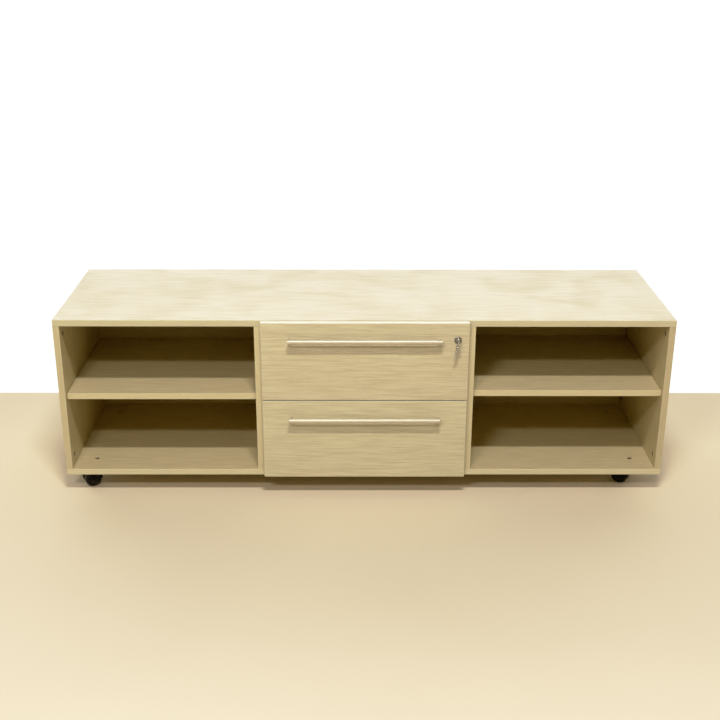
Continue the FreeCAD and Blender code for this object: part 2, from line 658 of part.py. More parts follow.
def cabinet_runners():
    """Four cabinet members, with their screws and those of the keeper."""
    heights = [runner_axis(low) for low in (LOWER_FRONT_LOW, UPPER_FRONT_LOW)]
    body = new_body("cabinet_runners")
    sections = [cabinet_section(side, middle) for name, side in SIDES for middle in heights]
    pad(body, "y", "runner_inset", sections, RUNNER_LENGTH)
    for name, side in SIDES:
        runner_screw_holes(body, side, "0", heights)

    screws = new_body("cabinet_screws")
    places = [(y, z) for y in RUNNER_SCREW_YS for z in heights]
    for name, side in SIDES:
        at = signed(side, DIVIDER_INNER)
        pad(screws, "x", at, [], "runner_sheet", -side, [(place, "screw_head_diameter") for place in places])
        pad(screws, "x", at, [], "runner_screw_length", side, [(place, "screw_diameter") for place in places])
    heads = [(place, "keeper_screw_head") for place in keeper_screw_places()]
    pad(screws, "z", CEILING, [], "keeper_sheet", -1, heads)
    shanks = [(place, "keeper_screw_diameter") for place in keeper_screw_places()]
    pad(screws, "z", CEILING, [], "keeper_screw_length", 1, shanks)


def lock_keeper():
    """The bent plate behind which the locking cam turns."""
    body = new_body("lock_keeper")
    left = f"{LOCK_X} - keeper_width / 2"
    right = f"{LOCK_X} + keeper_width / 2"
    flange = rectangle((left, "keeper_front"), (right, "keeper_front + keeper_depth"))
    leg = rectangle((left, f"{LOCK_Z} + keeper_clearance"), (right, CEILING))
    pad(body, "z", CEILING, [flange], "keeper_sheet", -1)
    pad(body, "y", "keeper_front", [leg], "keeper_sheet")
    heads = [(place, "keeper_screw_head + 2 * fit_slack") for place in keeper_screw_places()]
    cut(body, "z", CEILING, [], "keeper_sheet", -1, heads)


def drawer(name, front_low, front_top):
    """One drawer: front, box, runner members, handle and screws."""
    box_low = f"({front_low} + box_rise)"
    box_top = f"({box_low} + box_height)"
    middle = runner_axis(front_low)
    handle_z = f"({front_top} - {name}_handle_drop)"
    post_xs = [signed(side, POST_X) for label, side in SIDES]
    fixings = [
        (signed(side, f"({BOX_INNER} - fixing_side_inset)"), z)
        for label, side in SIDES
        for z in (f"{box_low} + fixing_inset", f"{box_top} - fixing_inset")
    ]
    corner_ys = (f"{FRONT_REAR} + box_board / 2", f"{BOX_END} - box_board / 2")
    corner_zs = (f"{box_low} + corner_screw_inset", f"{box_top} - corner_screw_inset")
    corners = [(y, z) for y in corner_ys for z in corner_zs]
    runner_places = [(y, middle) for y in RUNNER_SCREW_YS]

    front = board_piece(
        f"{name}_drawer_front", "y", FRONT_REAR,
        (f"0 - {FRONT_HALF}", front_low), (FRONT_HALF, front_top), "board", -1,
    )
    soften(front)
    handle_holes = [((x, handle_z), "handle_screw_diameter + 2 * fit_slack") for x in post_xs]
    cut(front, "y", FRONT_REAR, [], "board", -1, handle_holes)
    screw_holes = [(place, "screw_diameter + 2 * fit_slack") for place in fixings]
    cut(front, "y", FRONT_REAR, [], "fixing_depth + hole_extra_depth", -1, screw_holes)

    groove_low = f"{box_low} + box_bottom_rise"
    groove_high = f"{groove_low} + box_bottom_thickness + 2 * box_groove_slack"
    sides = new_body(f"{name}_box_sides")
    for label, side in SIDES:
        outline = rectangle((FRONT_REAR, box_low), (BOX_END, box_top))
        pad(sides, "x", signed(side, BOX_INNER), [outline], "box_board", side)
    for label, side in SIDES:
        groove_front = f"{FRONT_REAR} + box_board - box_groove_depth"
        groove = rectangle((groove_front, groove_low), (BOX_END, groove_high))
        cut(sides, "x", signed(side, BOX_INNER), [groove], "box_groove_depth", side)
        holes = [(place, "screw_diameter + 2 * fit_slack") for place in corners]
        cut(sides, "x", signed(side, BOX_INNER), [], "box_board", side, holes)
        sinks = [(place, "screw_head_diameter + 2 * fit_slack") for place in corners]
        cut(sides, "x", signed(side, BOX_HALF), [], "screw_head_height", -side, sinks)
        holes = [(place, "screw_diameter + 2 * fit_slack") for place in runner_places]
        depth = "box_board - box_screw_cover + hole_extra_depth / 2"
        cut(sides, "x", signed(side, BOX_HALF), [], depth, -side, holes)

    ends = new_body(f"{name}_box_ends")
    outline = rectangle((f"0 - {BOX_INNER}", box_low), (BOX_INNER, box_top))
    pad(ends, "y", FRONT_REAR, [outline], "box_board")
    pad(ends, "y", f"{BOX_END} - box_board", [outline], "box_board")
    groove = rectangle((f"0 - {BOX_INNER}", groove_low), (BOX_INNER, groove_high))
    cut(ends, "y", f"{FRONT_REAR} + box_board", [groove], "box_groove_depth", -1)
    cut(ends, "y", f"{BOX_END} - box_board", [groove], "box_groove_depth")
    cut(ends, "y", FRONT_REAR, [], "box_board", 1, screw_holes)
    corner_holes = [(place, "screw_diameter + 2 * fit_slack") for place in corners]
    depth = "corner_screw_depth + hole_extra_depth"
    for label, side in SIDES:
        cut(ends, "x", signed(side, BOX_INNER), [], depth, -side, corner_holes)

    tongue = "(box_groove_depth - box_groove_slack)"
    board_piece(
        f"{name}_box_bottom", "z", f"{groove_low} + box_groove_slack",
        (f"0 - {BOX_INNER} - {tongue}", f"{FRONT_REAR} + box_board - {tongue}"),
        (f"{BOX_INNER} + {tongue}", f"{BOX_END} - box_board + {tongue}"),
        "box_bottom_thickness",
    )

    runners = new_body(f"{name}_drawer_runners")
    pad(runners, "y", "runner_inset", [drawer_section(side, middle) for label, side in SIDES], RUNNER_LENGTH)
    for label, side in SIDES:
        runner_screw_holes(runners, side, "runner_thickness - runner_sheet", [middle])

    glides = new_body(f"{name}_middle_runners")
    pad(glides, "y", "runner_inset", [middle_section(side, middle) for label, side in SIDES], RUNNER_LENGTH)

    bar = new_body(f"{name}_handle_bar")
    grip = [((HANDLE_AXIS, handle_z), "handle_diameter")]
    pad(bar, "x", f"0 - {HANDLE_HALF}", [], f"2 * {HANDLE_HALF}", 1, grip)
    soften(bar, "handle_chamfer", round_edge, "PartDesign::Chamfer")

    posts = new_body(f"{name}_handle_posts")
    stems = [((x, handle_z), "post_diameter") for x in post_xs]
    pad(posts, "y", FRONT_FACE, [], "handle_standoff", -1, stems)
    seat = [((HANDLE_AXIS, handle_z), "handle_diameter + 2 * touch_gap")]
    cut(posts, "x", f"0 - {HANDLE_HALF}", [], f"2 * {HANDLE_HALF}", 1, seat)
    threads = [((x, handle_z), "handle_screw_diameter + 2 * fit_slack") for x in post_xs]
    cut(posts, "y", FRONT_FACE, [], "handle_screw_grip + hole_extra_depth", -1, threads)

    screws = new_body(f"{name}_drawer_screws")
    heads = [((x, handle_z), "handle_screw_head") for x in post_xs]
    pad(screws, "y", FRONT_REAR, [], "handle_screw_head_height", 1, heads)
    shanks = [((x, handle_z), "handle_screw_diameter") for x in post_xs]
    pad(screws, "y", FRONT_REAR, [], "board + handle_screw_grip", -1, shanks)
    heads = [(place, "screw_head_diameter") for place in fixings]
    pad(screws, "y", f"{FRONT_REAR} + box_board", [], "screw_head_height", 1, heads)
    shanks = [(place, "screw_diameter") for place in fixings]
    pad(screws, "y", f"{FRONT_REAR} + box_board", [], "box_board + fixing_depth", -1, shanks)
    for label, side in SIDES:
        outer = signed(side, BOX_HALF)
        heads = [(place, "screw_head_diameter") for place in corners]
        pad(screws, "x", outer, [], "screw_head_height", -side, heads)
        shanks = [(place, "screw_diameter") for place in corners]
        pad(screws, "x", outer, [], "box_board + corner_screw_depth", -side, shanks)
        heads = [(place, "screw_head_diameter") for place in runner_places]
        pad(screws, "x", outer, [], "runner_sheet", side, heads)
        shanks = [(place, "screw_diameter") for place in runner_places]
        pad(screws, "x", outer, [], "box_board - box_screw_cover", -side, shanks)
    return front


def lock_parts(front):
    """The cam lock in the upper front: housing, nut, turning plug and locking cam."""
    axis = (LOCK_X, LOCK_Z)
    cut(front, "y", FRONT_REAR, [], "board", -1, [(axis, f"{BARREL} + 2 * fit_slack")])

    housing = new_body("lock_housing")
    pad(housing, "y", FRONT_FACE, [], "rosette_height", -1, [(axis, f"{BARREL} + 2 * rosette_lip")])
    soften(housing, "rosette_round", front_circle(housing))
    pad(housing, "y", FRONT_FACE, [], "board + barrel_tail", 1, [(axis, BARREL)])
    bore = "rosette_height + board + barrel_tail"
    cut(housing, "y", BARREL_END, [], bore, -1, [(axis, "plug_diameter + 2 * plug_slack")])

    nut = DOC.addObject("Part::Cut", "lock_nut")
    nut.Base = DOC.addObject("Part::Prism", "nut_blank")
    nut.Base.Polygon = 6
    bind(nut.Base, "Circumradius", f"{BARREL} / 2 + lock_nut_wall")
    bind(nut.Base, "Height", "lock_nut_height")
    nut.Tool = DOC.addObject("Part::Cylinder", "nut_thread")
    bind(nut.Tool, "Radius", f"{BARREL} / 2 + fit_slack")
    bind(nut.Tool, "Height", "lock_nut_height")
    nut.Label = "lock_nut"
    seat = f"vector({LOCK_X}; {FRONT_PLANE} + {FRONT_REAR}; {LOCK_Z})"
    bind(nut, "Placement", f"placement({seat}; rotationx(0 - 90))")
    PIECES.append(nut)

    plug = new_body("lock_plug")
    length = f"{PLUG_SHOULDER} - {PLUG_FACE}"
    pad(plug, "y", PLUG_FACE, [], length, 1, [(axis, "plug_diameter")])
    pad(plug, "y", PLUG_SHOULDER, [], "plug_end_length", 1, [(axis, "plug_end_diameter")])
    keyway = rectangle(
        (f"{LOCK_X} - key_sheet / 2 - keyway_slack", f"{LOCK_Z} - blade_height / 2 - keyway_slack"),
        (f"{LOCK_X} + key_sheet / 2 + keyway_slack", f"{LOCK_Z} + blade_height / 2 + keyway_slack"),
    )
    cut(plug, "y", PLUG_FACE, [keyway], "blade_length + keyway_depth_slack")

    tongue = new_body("lock_cam")
    arm = rectangle(
        (LOCK_X, f"{LOCK_Z} - tongue_width / 2"),
        (f"{LOCK_X} + tongue_length", f"{LOCK_Z} + tongue_width / 2"),
    )
    start = f"{PLUG_SHOULDER} + fit_slack"
    pad(tongue, "y", start, [arm], "tongue_thickness")
    pad(tongue, "y", start, [], "tongue_thickness", 1, [(axis, "tongue_width")])
    cut(tongue, "y", start, [], "tongue_thickness", 1, [(axis, "plug_end_diameter + 2 * fit_slack")])


def front_circle(body):
    """A test for the round edges on the front face of a body."""
    front = body.Shape.BoundBox.YMin - body.Placement.Base.y
    return lambda edge: round_edge(edge) and abs(edge.CenterOfMass.y - front) < 0.01


def key_blank(label):
    """A flat key that hangs from the centre of the hole in its bow."""
    body = new_body(label, standing=False)
    bow_low = "(0 - bow_length + bow_hole_inset)"
    neck_low = f"({bow_low} - neck_length)"
    tip = f"({neck_low} - blade_length)"
    start = "0 - key_sheet / 2"
    bow = rectangle(("0 - bow_height / 2", bow_low), ("bow_height / 2", "bow_hole_inset"))
    pad(body, "x", start, [bow], "key_sheet")
    across = Vector(1, 0, 0)
    soften(body, "bow_round", lambda edge: runs_along(edge, across))
    neck = rectangle(("0 - neck_height / 2", neck_low), ("neck_height / 2", f"{bow_low} + neck_length"))
    pad(body, "x", start, [neck], "key_sheet")
    half = "blade_height / 2"
    point = f"{tip} + {half}"
    root = f"{neck_low} + neck_length"
    blade = ((f"0 - {half}", root), (f"0 - {half}", point), ("0", tip), (half, point), (half, root))
    pad(body, "x", start, [blade], "key_sheet")
    bits = []
    for turn in range(1, 4):
        middle = f"({neck_low} - {turn} * bit_pitch)"
        bits.append((
            (f"{half} + bit_depth", f"{middle} - bit_width"),
            (f"{half} + bit_depth", f"{middle} + bit_width"),
            (f"{half} - bit_depth", middle),
        ))
    cut(body, "x", start, bits, "key_sheet")
    cut(body, "x", start, [], "key_sheet", 1, [(("0", "0"), "bow_hole_diameter")])
    return body


def keys():
    """The key in the lock, the ring through its bow and the spare key that hangs from the ring."""
    hole_y = f"{FRONT_PLANE} + {KEY_HOLE_Y}"
    hang = "(bow_hole_diameter / 2 - ring_wire_radius - hang_gap)"
    places = {
        "key": (LOCK_X, LOCK_Z, "rotationx(90)"),
        "key_ring": (
            f"{LOCK_X} - ring_radius * sin(ring_lean)",
            f"{LOCK_Z} - {hang} - ring_radius * cos(ring_lean)",
            "rotationx(90)",
        ),
        "spare_key": (
            f"{LOCK_X} - 2 * ring_radius * sin(ring_lean) - {hang} * sin(spare_key_lean)",
            f"{LOCK_Z} - {hang} - 2 * ring_radius * cos(ring_lean) - {hang} * cos(spare_key_lean)",
            "rotationy(spare_key_lean)",
        ),
    }
    key_blank("key")
    ring = primitive("Part::Torus", "key_ring", {"Radius1": "ring_radius", "Radius2": "ring_wire_radius"})
    ring.Label = "key_ring"
    PIECES.append(ring)
    key_blank("spare_key")
    for label, (x, z, turn) in places.items():
        bind(DOC.getObject(label), "Placement", f"placement(vector({x}; {hole_y}; {z}); {turn})")


def caster_fixings():
    """Plates, kingpins and screws of the four casters, which stay with the cabinet."""
    plates = new_body("caster_plates")
    pins = new_body("caster_kingpins")
    places = [(x, y) for name, x, y, swivel in caster_places()]
    outlines = [
        rectangle(
            (f"{x} - plate_length / 2", f"{y} - plate_length / 2"),
            (f"{x} + plate_length / 2", f"{y} + plate_length / 2"),
        )
        for x, y in places
    ]
    pad(plates, "z", PANEL_LOW, outlines, "plate_thickness", -1)
    up = Vector(0, 0, 1)
    soften(plates, "plate_round", lambda edge: runs_along(edge, up))
    holes = [(place, "kingpin_diameter + fit_slack") for place in places]
    cut(plates, "z", PANEL_LOW, [], "plate_thickness", -1, holes)
    holes = [(place, "screw_diameter + 2 * fit_slack") for place in plate_screw_places()]
    cut(plates, "z", PANEL_LOW, [], "plate_thickness", -1, holes)

    length = f"{PANEL_TOP} - kingpin_drop - {KINGPIN_LOW}"
    pad(pins, "z", KINGPIN_LOW, [], length, 1, [(place, "kingpin_diameter") for place in places])
    pad(pins, "z", PANEL_LOW, [], "rivet_height", 1, [(place, RIVET) for place in places])

    screws = new_body("caster_screws")
    heads = [(place, "screw_head_diameter") for place in plate_screw_places()]
    pad(screws, "z", PLATE_LOW, [], "screw_head_height", -1, heads)
    shanks = [(place, "screw_diameter") for place in plate_screw_places()]
    pad(screws, "z", PLATE_LOW, [], "plate_thickness + plate_screw_length", 1, shanks)


def primitive(kind, label, settings, place=("0", "0", "0"), turn="rotationz(0)"):
    """A bound primitive, set down at a place and turned."""
    thing = DOC.addObject(kind, label)
    for setting, text in settings.items():
        bind(thing, setting, text)
    x, y, z = place
    bind(thing, "Placement", f"placement(vector({x}; {y}; {z}); {turn})")
    return thing


def hood(label):
    """The moulded hood: web between the wheels, cover over them, kingpin block and collar."""
    inner = "(wheel_radius + fender_gap)"
    outer = f"({inner} + fender_thickness)"
    lying = "rotationx(90)"
    leaning = f"rotationy(0 - fender_start) * {lying}"
    wheels_side = ("trail", WHEEL_OUTER, "wheel_radius")
    web_side = ("trail", f"{WEB_WIDTH} / 2", "wheel_radius")

    cover = {"Radius": outer, "Height": f"2 * {WHEEL_OUTER}", "Angle": "fender_sweep"}
    space = {"Radius": inner, "Height": f"2 * {WHEEL_OUTER}"}
    fender = DOC.addObject("Part::Cut", f"{label}_fender")
    fender.Base = primitive("Part::Cylinder", f"{label}_cover", cover, wheels_side, leaning)
    fender.Tool = primitive("Part::Cylinder", f"{label}_space", space, wheels_side, lying)

    web = {"Radius": f"{inner} + fender_thickness / 2", "Height": WEB_WIDTH, "Angle": "fender_sweep"}
    boss = {"Radius": "axle_boss_radius", "Height": WEB_WIDTH}
    block_low = f"({KINGPIN_LOW} - swivel_gap - pin_block_floor)"
    collar_low = f"({HOOD_TOP} - collar_sink)"
    block_half = "(kingpin_diameter / 2 + pin_block_wall)"
    block_height = f"{collar_low} + collar_sink / 2 - {block_low}"
    block = {"Length": f"2 * {block_half}", "Width": WEB_WIDTH, "Height": block_height}
    block_corner = (f"0 - {block_half}", f"0 - {WEB_WIDTH} / 2", block_low)
    collar = {"Radius": "kingpin_diameter / 2 + collar_wall", "Height": f"{COLLAR_TOP} - {collar_low}"}
    solid = DOC.addObject("Part::MultiFuse", f"{label}_solid")
    solid.Shapes = [
        fender,
        primitive("Part::Cylinder", f"{label}_web", web, web_side, leaning),
        primitive("Part::Cylinder", f"{label}_boss", boss, web_side, lying),
        primitive("Part::Box", f"{label}_block", block, block_corner),
        primitive("Part::Cylinder", f"{label}_collar", collar, ("0", "0", collar_low)),
    ]

    pin_low = f"({KINGPIN_LOW} - swivel_gap)"
    pin = {"Radius": "kingpin_diameter / 2 + plug_slack", "Height": f"{COLLAR_TOP} - {pin_low}"}
    axle_bore = {"Radius": "axle_diameter / 2 + plug_slack", "Height": WEB_WIDTH}
    bores = DOC.addObject("Part::MultiFuse", f"{label}_bores")
    bores.Shapes = [
        primitive("Part::Cylinder", f"{label}_pin_bore", pin, ("0", "0", pin_low)),
        primitive("Part::Cylinder", f"{label}_axle_bore", axle_bore, web_side, lying),
    ]
    piece = DOC.addObject("Part::Cut", label)
    piece.Label = label
    piece.Base = solid
    piece.Tool = bores
    PIECES.append(piece)
    return piece


def axle(label):
    """The steel axle with a head at each end."""
    body = new_body(label, standing=False)
    hub = f"({WHEEL_OUTER} - hub_recess + axle_head_gap)"
    centre = ("trail", "wheel_radius")
    pad(body, "y", f"0 - {hub}", [], f"2 * {hub}", 1, [(centre, "axle_diameter")])
    for side in (-1, 1):
        pad(body, "y", signed(side, hub), [], "axle_head_height", side, [(centre, "axle_head_diameter")])
    return body


def wheel(label, side):
    """One wheel: a rounded tread, a dished face and a plain bore."""
    body = new_body(label, standing=False)
    centre = ("trail", "wheel_radius")
    pad(body, "y", signed(side, WHEEL_INNER), [], "wheel_width", side, [(centre, "2 * wheel_radius")])
    soften(body, "wheel_round", round_edge)
    cut(body, "y", signed(side, WHEEL_OUTER), [], "hub_recess", -side, [(centre, "2 * dish_radius")])
    ring = [(centre, "2 * dish_radius"), (centre, "2 * hub_radius")]
    cut(body, "y", signed(side, f"({WHEEL_OUTER} - hub_recess)"), [], "dish_depth", -side, ring)
    bore = [(centre, "axle_diameter + 2 * plug_slack")]
    cut(body, "y", signed(side, WHEEL_INNER), [], "wheel_width", side, bore)
    return body


def casters():
    """Four twin-wheel swivel casters, each standing on the floor under its swivel axis."""
    for name, across, place, swivel in caster_places():
        pieces = [
            hood(f"{name}_caster_hood"),
            axle(f"{name}_caster_axle"),
            wheel(f"{name}_caster_wheel_a", -1),
            wheel(f"{name}_caster_wheel_b", 1),
        ]
        stand = f"placement(vector({across}; {FRONT_PLANE} + {place}; 0); rotationz({swivel}))"
        for piece in pieces:
            bind(piece, "Placement", stand)


def check_and_write():
    """Stop at anything that failed, then write each piece to its own file."""
    DOC.recompute()
    for thing in DOC.Objects:
        if "Invalid" in thing.State or "Error" in thing.State:
            raise RuntimeError(f"{thing.Label} failed: {thing.State}")
    os.makedirs("parts", exist_ok=True)
    for piece in PIECES:
        shape = piece.Shape
        if shape.isNull() or not shape.isValid():
            raise RuntimeError(f"{piece.Label} has no valid shape")
        shape.exportStep(os.path.join("parts", f"{piece.Label}.step"))
        print(f"{piece.Label}: {len(shape.Solids)} solids, {shape.Volume / 1000:.1f} cm3")


top_and_bottom()
uprights()
back_and_shelves()
shelf_pins()
cam_locks()
cam_bolts_and_dowels()
cabinet_runners()
lock_keeper()
UPPER_FRONT = drawer("upper", UPPER_FRONT_LOW, UPPER_FRONT_TOP)
drawer("lower", LOWER_FRONT_LOW, LOWER_FRONT_TOP)
lock_parts(UPPER_FRONT)
keys()
caster_fixings()
casters()
check_and_write()
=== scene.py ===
"""The looks of a low office sideboard on casters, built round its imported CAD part."""

import itertools
import json
import math

import bmesh
import bpy
from bpy.props import FloatProperty, FloatVectorProperty, IntProperty, PointerProperty
from bpy.types import Operator, Panel, PropertyGroup
from mathutils import Matrix, Vector

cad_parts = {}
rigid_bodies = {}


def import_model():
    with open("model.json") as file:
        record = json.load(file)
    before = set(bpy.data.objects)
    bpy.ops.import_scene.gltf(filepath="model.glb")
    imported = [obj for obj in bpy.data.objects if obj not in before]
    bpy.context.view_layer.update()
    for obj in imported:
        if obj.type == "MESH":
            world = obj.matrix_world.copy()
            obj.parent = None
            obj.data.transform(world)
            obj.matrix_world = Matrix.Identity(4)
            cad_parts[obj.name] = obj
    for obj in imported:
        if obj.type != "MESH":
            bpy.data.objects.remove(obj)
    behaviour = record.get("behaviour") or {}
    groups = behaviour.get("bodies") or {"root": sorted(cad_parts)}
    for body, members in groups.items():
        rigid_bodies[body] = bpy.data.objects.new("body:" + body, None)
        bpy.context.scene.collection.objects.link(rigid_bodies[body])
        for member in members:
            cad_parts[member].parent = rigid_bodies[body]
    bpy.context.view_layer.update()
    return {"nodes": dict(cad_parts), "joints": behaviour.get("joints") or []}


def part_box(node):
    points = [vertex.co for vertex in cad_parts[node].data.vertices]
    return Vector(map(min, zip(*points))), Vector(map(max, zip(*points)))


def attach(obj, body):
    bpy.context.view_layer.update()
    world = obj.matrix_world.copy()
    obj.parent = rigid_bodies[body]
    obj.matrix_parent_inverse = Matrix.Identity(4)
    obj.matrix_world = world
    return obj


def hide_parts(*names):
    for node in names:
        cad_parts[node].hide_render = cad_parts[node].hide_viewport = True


bl_info = {
    "name": "Office Sideboard",
    "version": (1, 0, 0),
    "blender": (4, 5, 0),
    "location": "3D View > Sidebar > Sideboard",
    "description": "Finishes and fittings of a low office sideboard on casters",
    "category": "Object",
}

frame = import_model()
JOINTS = {joint["name"]: joint for joint in frame["joints"]}
CASTERS = ("front_left", "front_right", "rear_left", "rear_right")
DRAWERS = ("upper", "lower")
AXLE_BORE = 0.00305

HOUSING_LOW, HOUSING_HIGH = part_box("lock_housing")
PLUG_LOW, PLUG_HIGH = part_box("lock_plug")
KEY_LOW, KEY_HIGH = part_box("key")


# Settings


def colour(name, description, default):
    """A colour property, as linear red, green and blue."""
    return FloatVectorProperty(
        name=name, description=description, subtype="COLOR", size=3, min=0, max=1, default=default
    )


def amount(name, description, default, **more):
    """A number property that isn't negative."""
    return FloatProperty(name=name, description=description, default=default, min=0, **more)


def length(name, description, default):
    """A length property in metres."""
    return amount(name, description, default, precision=5, unit="LENGTH", subtype="DISTANCE")


class LaminateSettings(PropertyGroup):
    """The pale timber laminate of the carcass and the drawer fronts."""

    light: colour("Light timber", "Colour between the streaks", (0.680, 0.605, 0.420))
    dark: colour("Dark timber", "Colour of the streaks", (0.455, 0.375, 0.210))
    pore: colour("Pores", "Colour of the fine open pores", (0.330, 0.245, 0.125))
    band: colour("Edge band", "Colour of the band on the board edges", (0.640, 0.590, 0.385))
    streak_length: length("Streak length", "Length of a streak along the grain", 0.090)
    streak_width: length("Streak width", "Distance from one streak to the next", 0.0028)
    band_width: length("Band thickness", "Edge of a board to the seam of its edge band", 0.001)
    contrast: amount("Contrast", "Strength of the streaks", 0.50, max=1, subtype="FACTOR")


class MetalSettings(PropertyGroup):
    """The metals of the handles, the lock, the keys, the runners and the fasteners."""

    nickel: colour("Handle nickel", "Satin nickel of the handles", (0.740, 0.700, 0.590))
    # The lock's nickel is painted dark as a painted dark reflection; the plug uses this colour made paler
    lock: colour("Lock nickel", "Nickel of the lock collar", (0.360, 0.345, 0.320))
    key: colour("Key nickel", "Bright nickel of the keys and their ring", (0.600, 0.590, 0.570))
    zinc: colour("Zinc", "Zinc of the runners and fasteners", (0.560, 0.570, 0.590))
    black: colour("Black steel", "Blackened steel of the caster pins", (0.030, 0.030, 0.032))
    cast: colour("Cast zinc", "Darker cast zinc of the cams", (0.290, 0.285, 0.275))


class CasterSettings(PropertyGroup):
    """The twin-wheel casters."""

    plastic: colour("Moulded plastic", "Black of the hoods and wheels", (0.012, 0.012, 0.014))
    scuff: colour("Scuffs", "Grey of rubbed and dusty plastic", (0.085, 0.080, 0.072))
    spokes: IntProperty(name="Spokes", description="Ribs in the dish of a wheel", default=8, min=3, max=24)
    hood_crown: length("Crown of the hood", "Rise of the hood in the middle of its width", 0.0009)


class KeySettings(PropertyGroup):
    """The two keys and the split ring between them."""

    ring_radius: length("Ring radius", "Centre of the ring to the middle of its wire", 0.007)
    wire_radius: length("Wire radius", "Radius of the wire of the split ring", 0.00040)
    spare_lean: FloatProperty(
        name="Spare key lean", description="Lean of the hanging key", unit="ROTATION",
        default=math.radians(10),
    )


class StageSettings(PropertyGroup):
    """Floor, light and camera."""

    floor: colour("Floor", "Plain pale floor", (0.780, 0.695, 0.560))
    wall_line: length("Wall line", "Distance behind the origin where the floor turns white", 0.5475)
    high_lamp: amount("High lamp", "Power of the high lamp", 77, unit="POWER")
    low_lamp: amount("Low lamp", "Power of the low lamp", 40, unit="POWER")
    front_sky: amount("Front", "Soft light from the front", 0.27)
    high_sky: amount("Overhead", "Soft light from above", 0.16)
    wall_sky: amount("Wall", "Soft light from the wall behind", 4.3)


class SideboardSettings(PropertyGroup):
    """All settings of the sideboard."""

    laminate: PointerProperty(type=LaminateSettings)
    metal: PointerProperty(type=MetalSettings)
    caster: PointerProperty(type=CasterSettings)
    keys: PointerProperty(type=KeySettings)
    stage: PointerProperty(type=StageSettings)


# Node trees


def feed(tree, socket, value):
    """Link a socket to another one, or set its value."""
    if isinstance(value, bpy.types.NodeSocket):
        tree.links.new(value, socket)
    elif value is not None:
        socket.default_value = value


def add(tree, kind, inputs=(), **settings):
    """Add a node with its settings and its inputs, by name or number."""
    made = tree.nodes.new(kind)
    for name, value in settings.items():
        setattr(made, name, value)
    for key, value in dict(inputs).items():
        feed(tree, made.inputs[key], value)
    return made


def maths(tree, operation, *values):
    """One Math node."""
    return add(tree, "ShaderNodeMath", enumerate(values), operation=operation).outputs[0]


def product(tree, *values):
    """Two numbers multiplied."""
    return maths(tree, "MULTIPLY", *values)


def vector_maths(tree, operation, *values):
    """One Vector Math node."""
    made = add(tree, "ShaderNodeVectorMath", enumerate(values), operation=operation)
    return made.outputs["Value" if operation == "DOT_PRODUCT" else "Vector"]


def joint_vector(tree, x=None, y=None, z=None):
    """A vector from its parts."""
    return add(tree, "ShaderNodeCombineXYZ", {0: x, 1: y, 2: z}).outputs[0]


def separated(tree, vector):
    """The parts of a vector."""
    return add(tree, "ShaderNodeSeparateXYZ", {0: vector}).outputs


def spread(tree, value, low, high, bottom=0.0, top=1.0):
    """Carry a value smoothly from one range to another."""
    inputs = enumerate((value, low, high, bottom, top))
    return add(tree, "ShaderNodeMapRange", inputs, interpolation_type="SMOOTHSTEP").outputs[0]


def noise(tree, vector, scale=1.0, detail=2.0, roughness=0.5):
    """The value of a noise texture."""
    inputs = {"Vector": vector, "Scale": scale, "Detail": detail, "Roughness": roughness}
    return add(tree, "ShaderNodeTexNoise", inputs).outputs[0]


def mix_colour(tree, factor, first, second):
    """Mix two colours."""
    inputs = {0: factor, 6: opaque(first), 7: opaque(second)}
    return add(tree, "ShaderNodeMix", inputs, data_type="RGBA").outputs[2]


def mix_vector(tree, factor, first, second):
    """Mix two vectors."""
    return add(tree, "ShaderNodeMix", {0: factor, 4: first, 5: second}, data_type="VECTOR").outputs[1]


def opaque(value):
    """A colour with its alpha, or a socket as it is."""
    if isinstance(value, bpy.types.NodeSocket):
        return value
    return (*tuple(value)[:3], 1.0)


def new_group(name, inputs, outputs, output="Float", kind="ShaderNodeTree"):
    """Start a node group with its named inputs and outputs."""
    tree = bpy.data.node_groups.new(name, kind)
    for label, sort, default in inputs:
        socket = tree.interface.new_socket(label, in_out="INPUT", socket_type=f"NodeSocket{sort}")
        if default is not None:
            socket.default_value = default
    for label in outputs:
        tree.interface.new_socket(label, in_out="OUTPUT", socket_type=f"NodeSocket{output}")
    return tree, tree.nodes.new("NodeGroupInput").outputs, tree.nodes.new("NodeGroupOutput").inputs


def timber_streaks():
    """Streaks, broad shades and pores of timber whose grain runs along X."""
    tree, given, made = new_group(
        "timber streaks",
        [
            ("Vector", "Vector", None), ("Along", "Float", 0.1), ("Across", "Float", 0.005),
            ("Wander", "Float", 0.35),
        ],
        ["Streaks", "Broad", "Pores"],
    )
    place = given["Vector"]
    sway = product(tree, noise(tree, place, 2.0, 1.0), given["Wander"])
    thin = maths(tree, "DIVIDE", 1.0, given["Across"])
    long = maths(tree, "DIVIDE", 1.0, given["Along"])
    drawn = vector_maths(tree, "MULTIPLY", place, joint_vector(tree, long, thin, thin))
    swayed = vector_maths(tree, "ADD", drawn, joint_vector(tree, None, sway, sway))
    fine = noise(tree, swayed, 1.0, 2.0, 0.55)
    coarse = noise(tree, vector_maths(tree, "MULTIPLY", swayed, (0.55, 0.33, 0.33)), 1.0, 1.0)
    both = maths(tree, "ADD", product(tree, fine, 0.78), product(tree, coarse, 0.22))
    feed(tree, made["Streaks"], spread(tree, both, 0.30, 0.70))
    wide = noise(tree, vector_maths(tree, "MULTIPLY", swayed, (0.22, 0.05, 0.05)), 1.0, 2.0)
    feed(tree, made["Broad"], spread(tree, wide, 0.35, 0.65))
    dashes = noise(tree, vector_maths(tree, "MULTIPLY", swayed, (5.0, 5.5, 5.5)), 1.0, 1.0)
    feed(tree, made["Pores"], spread(tree, dashes, 0.60, 0.70))
    return tree


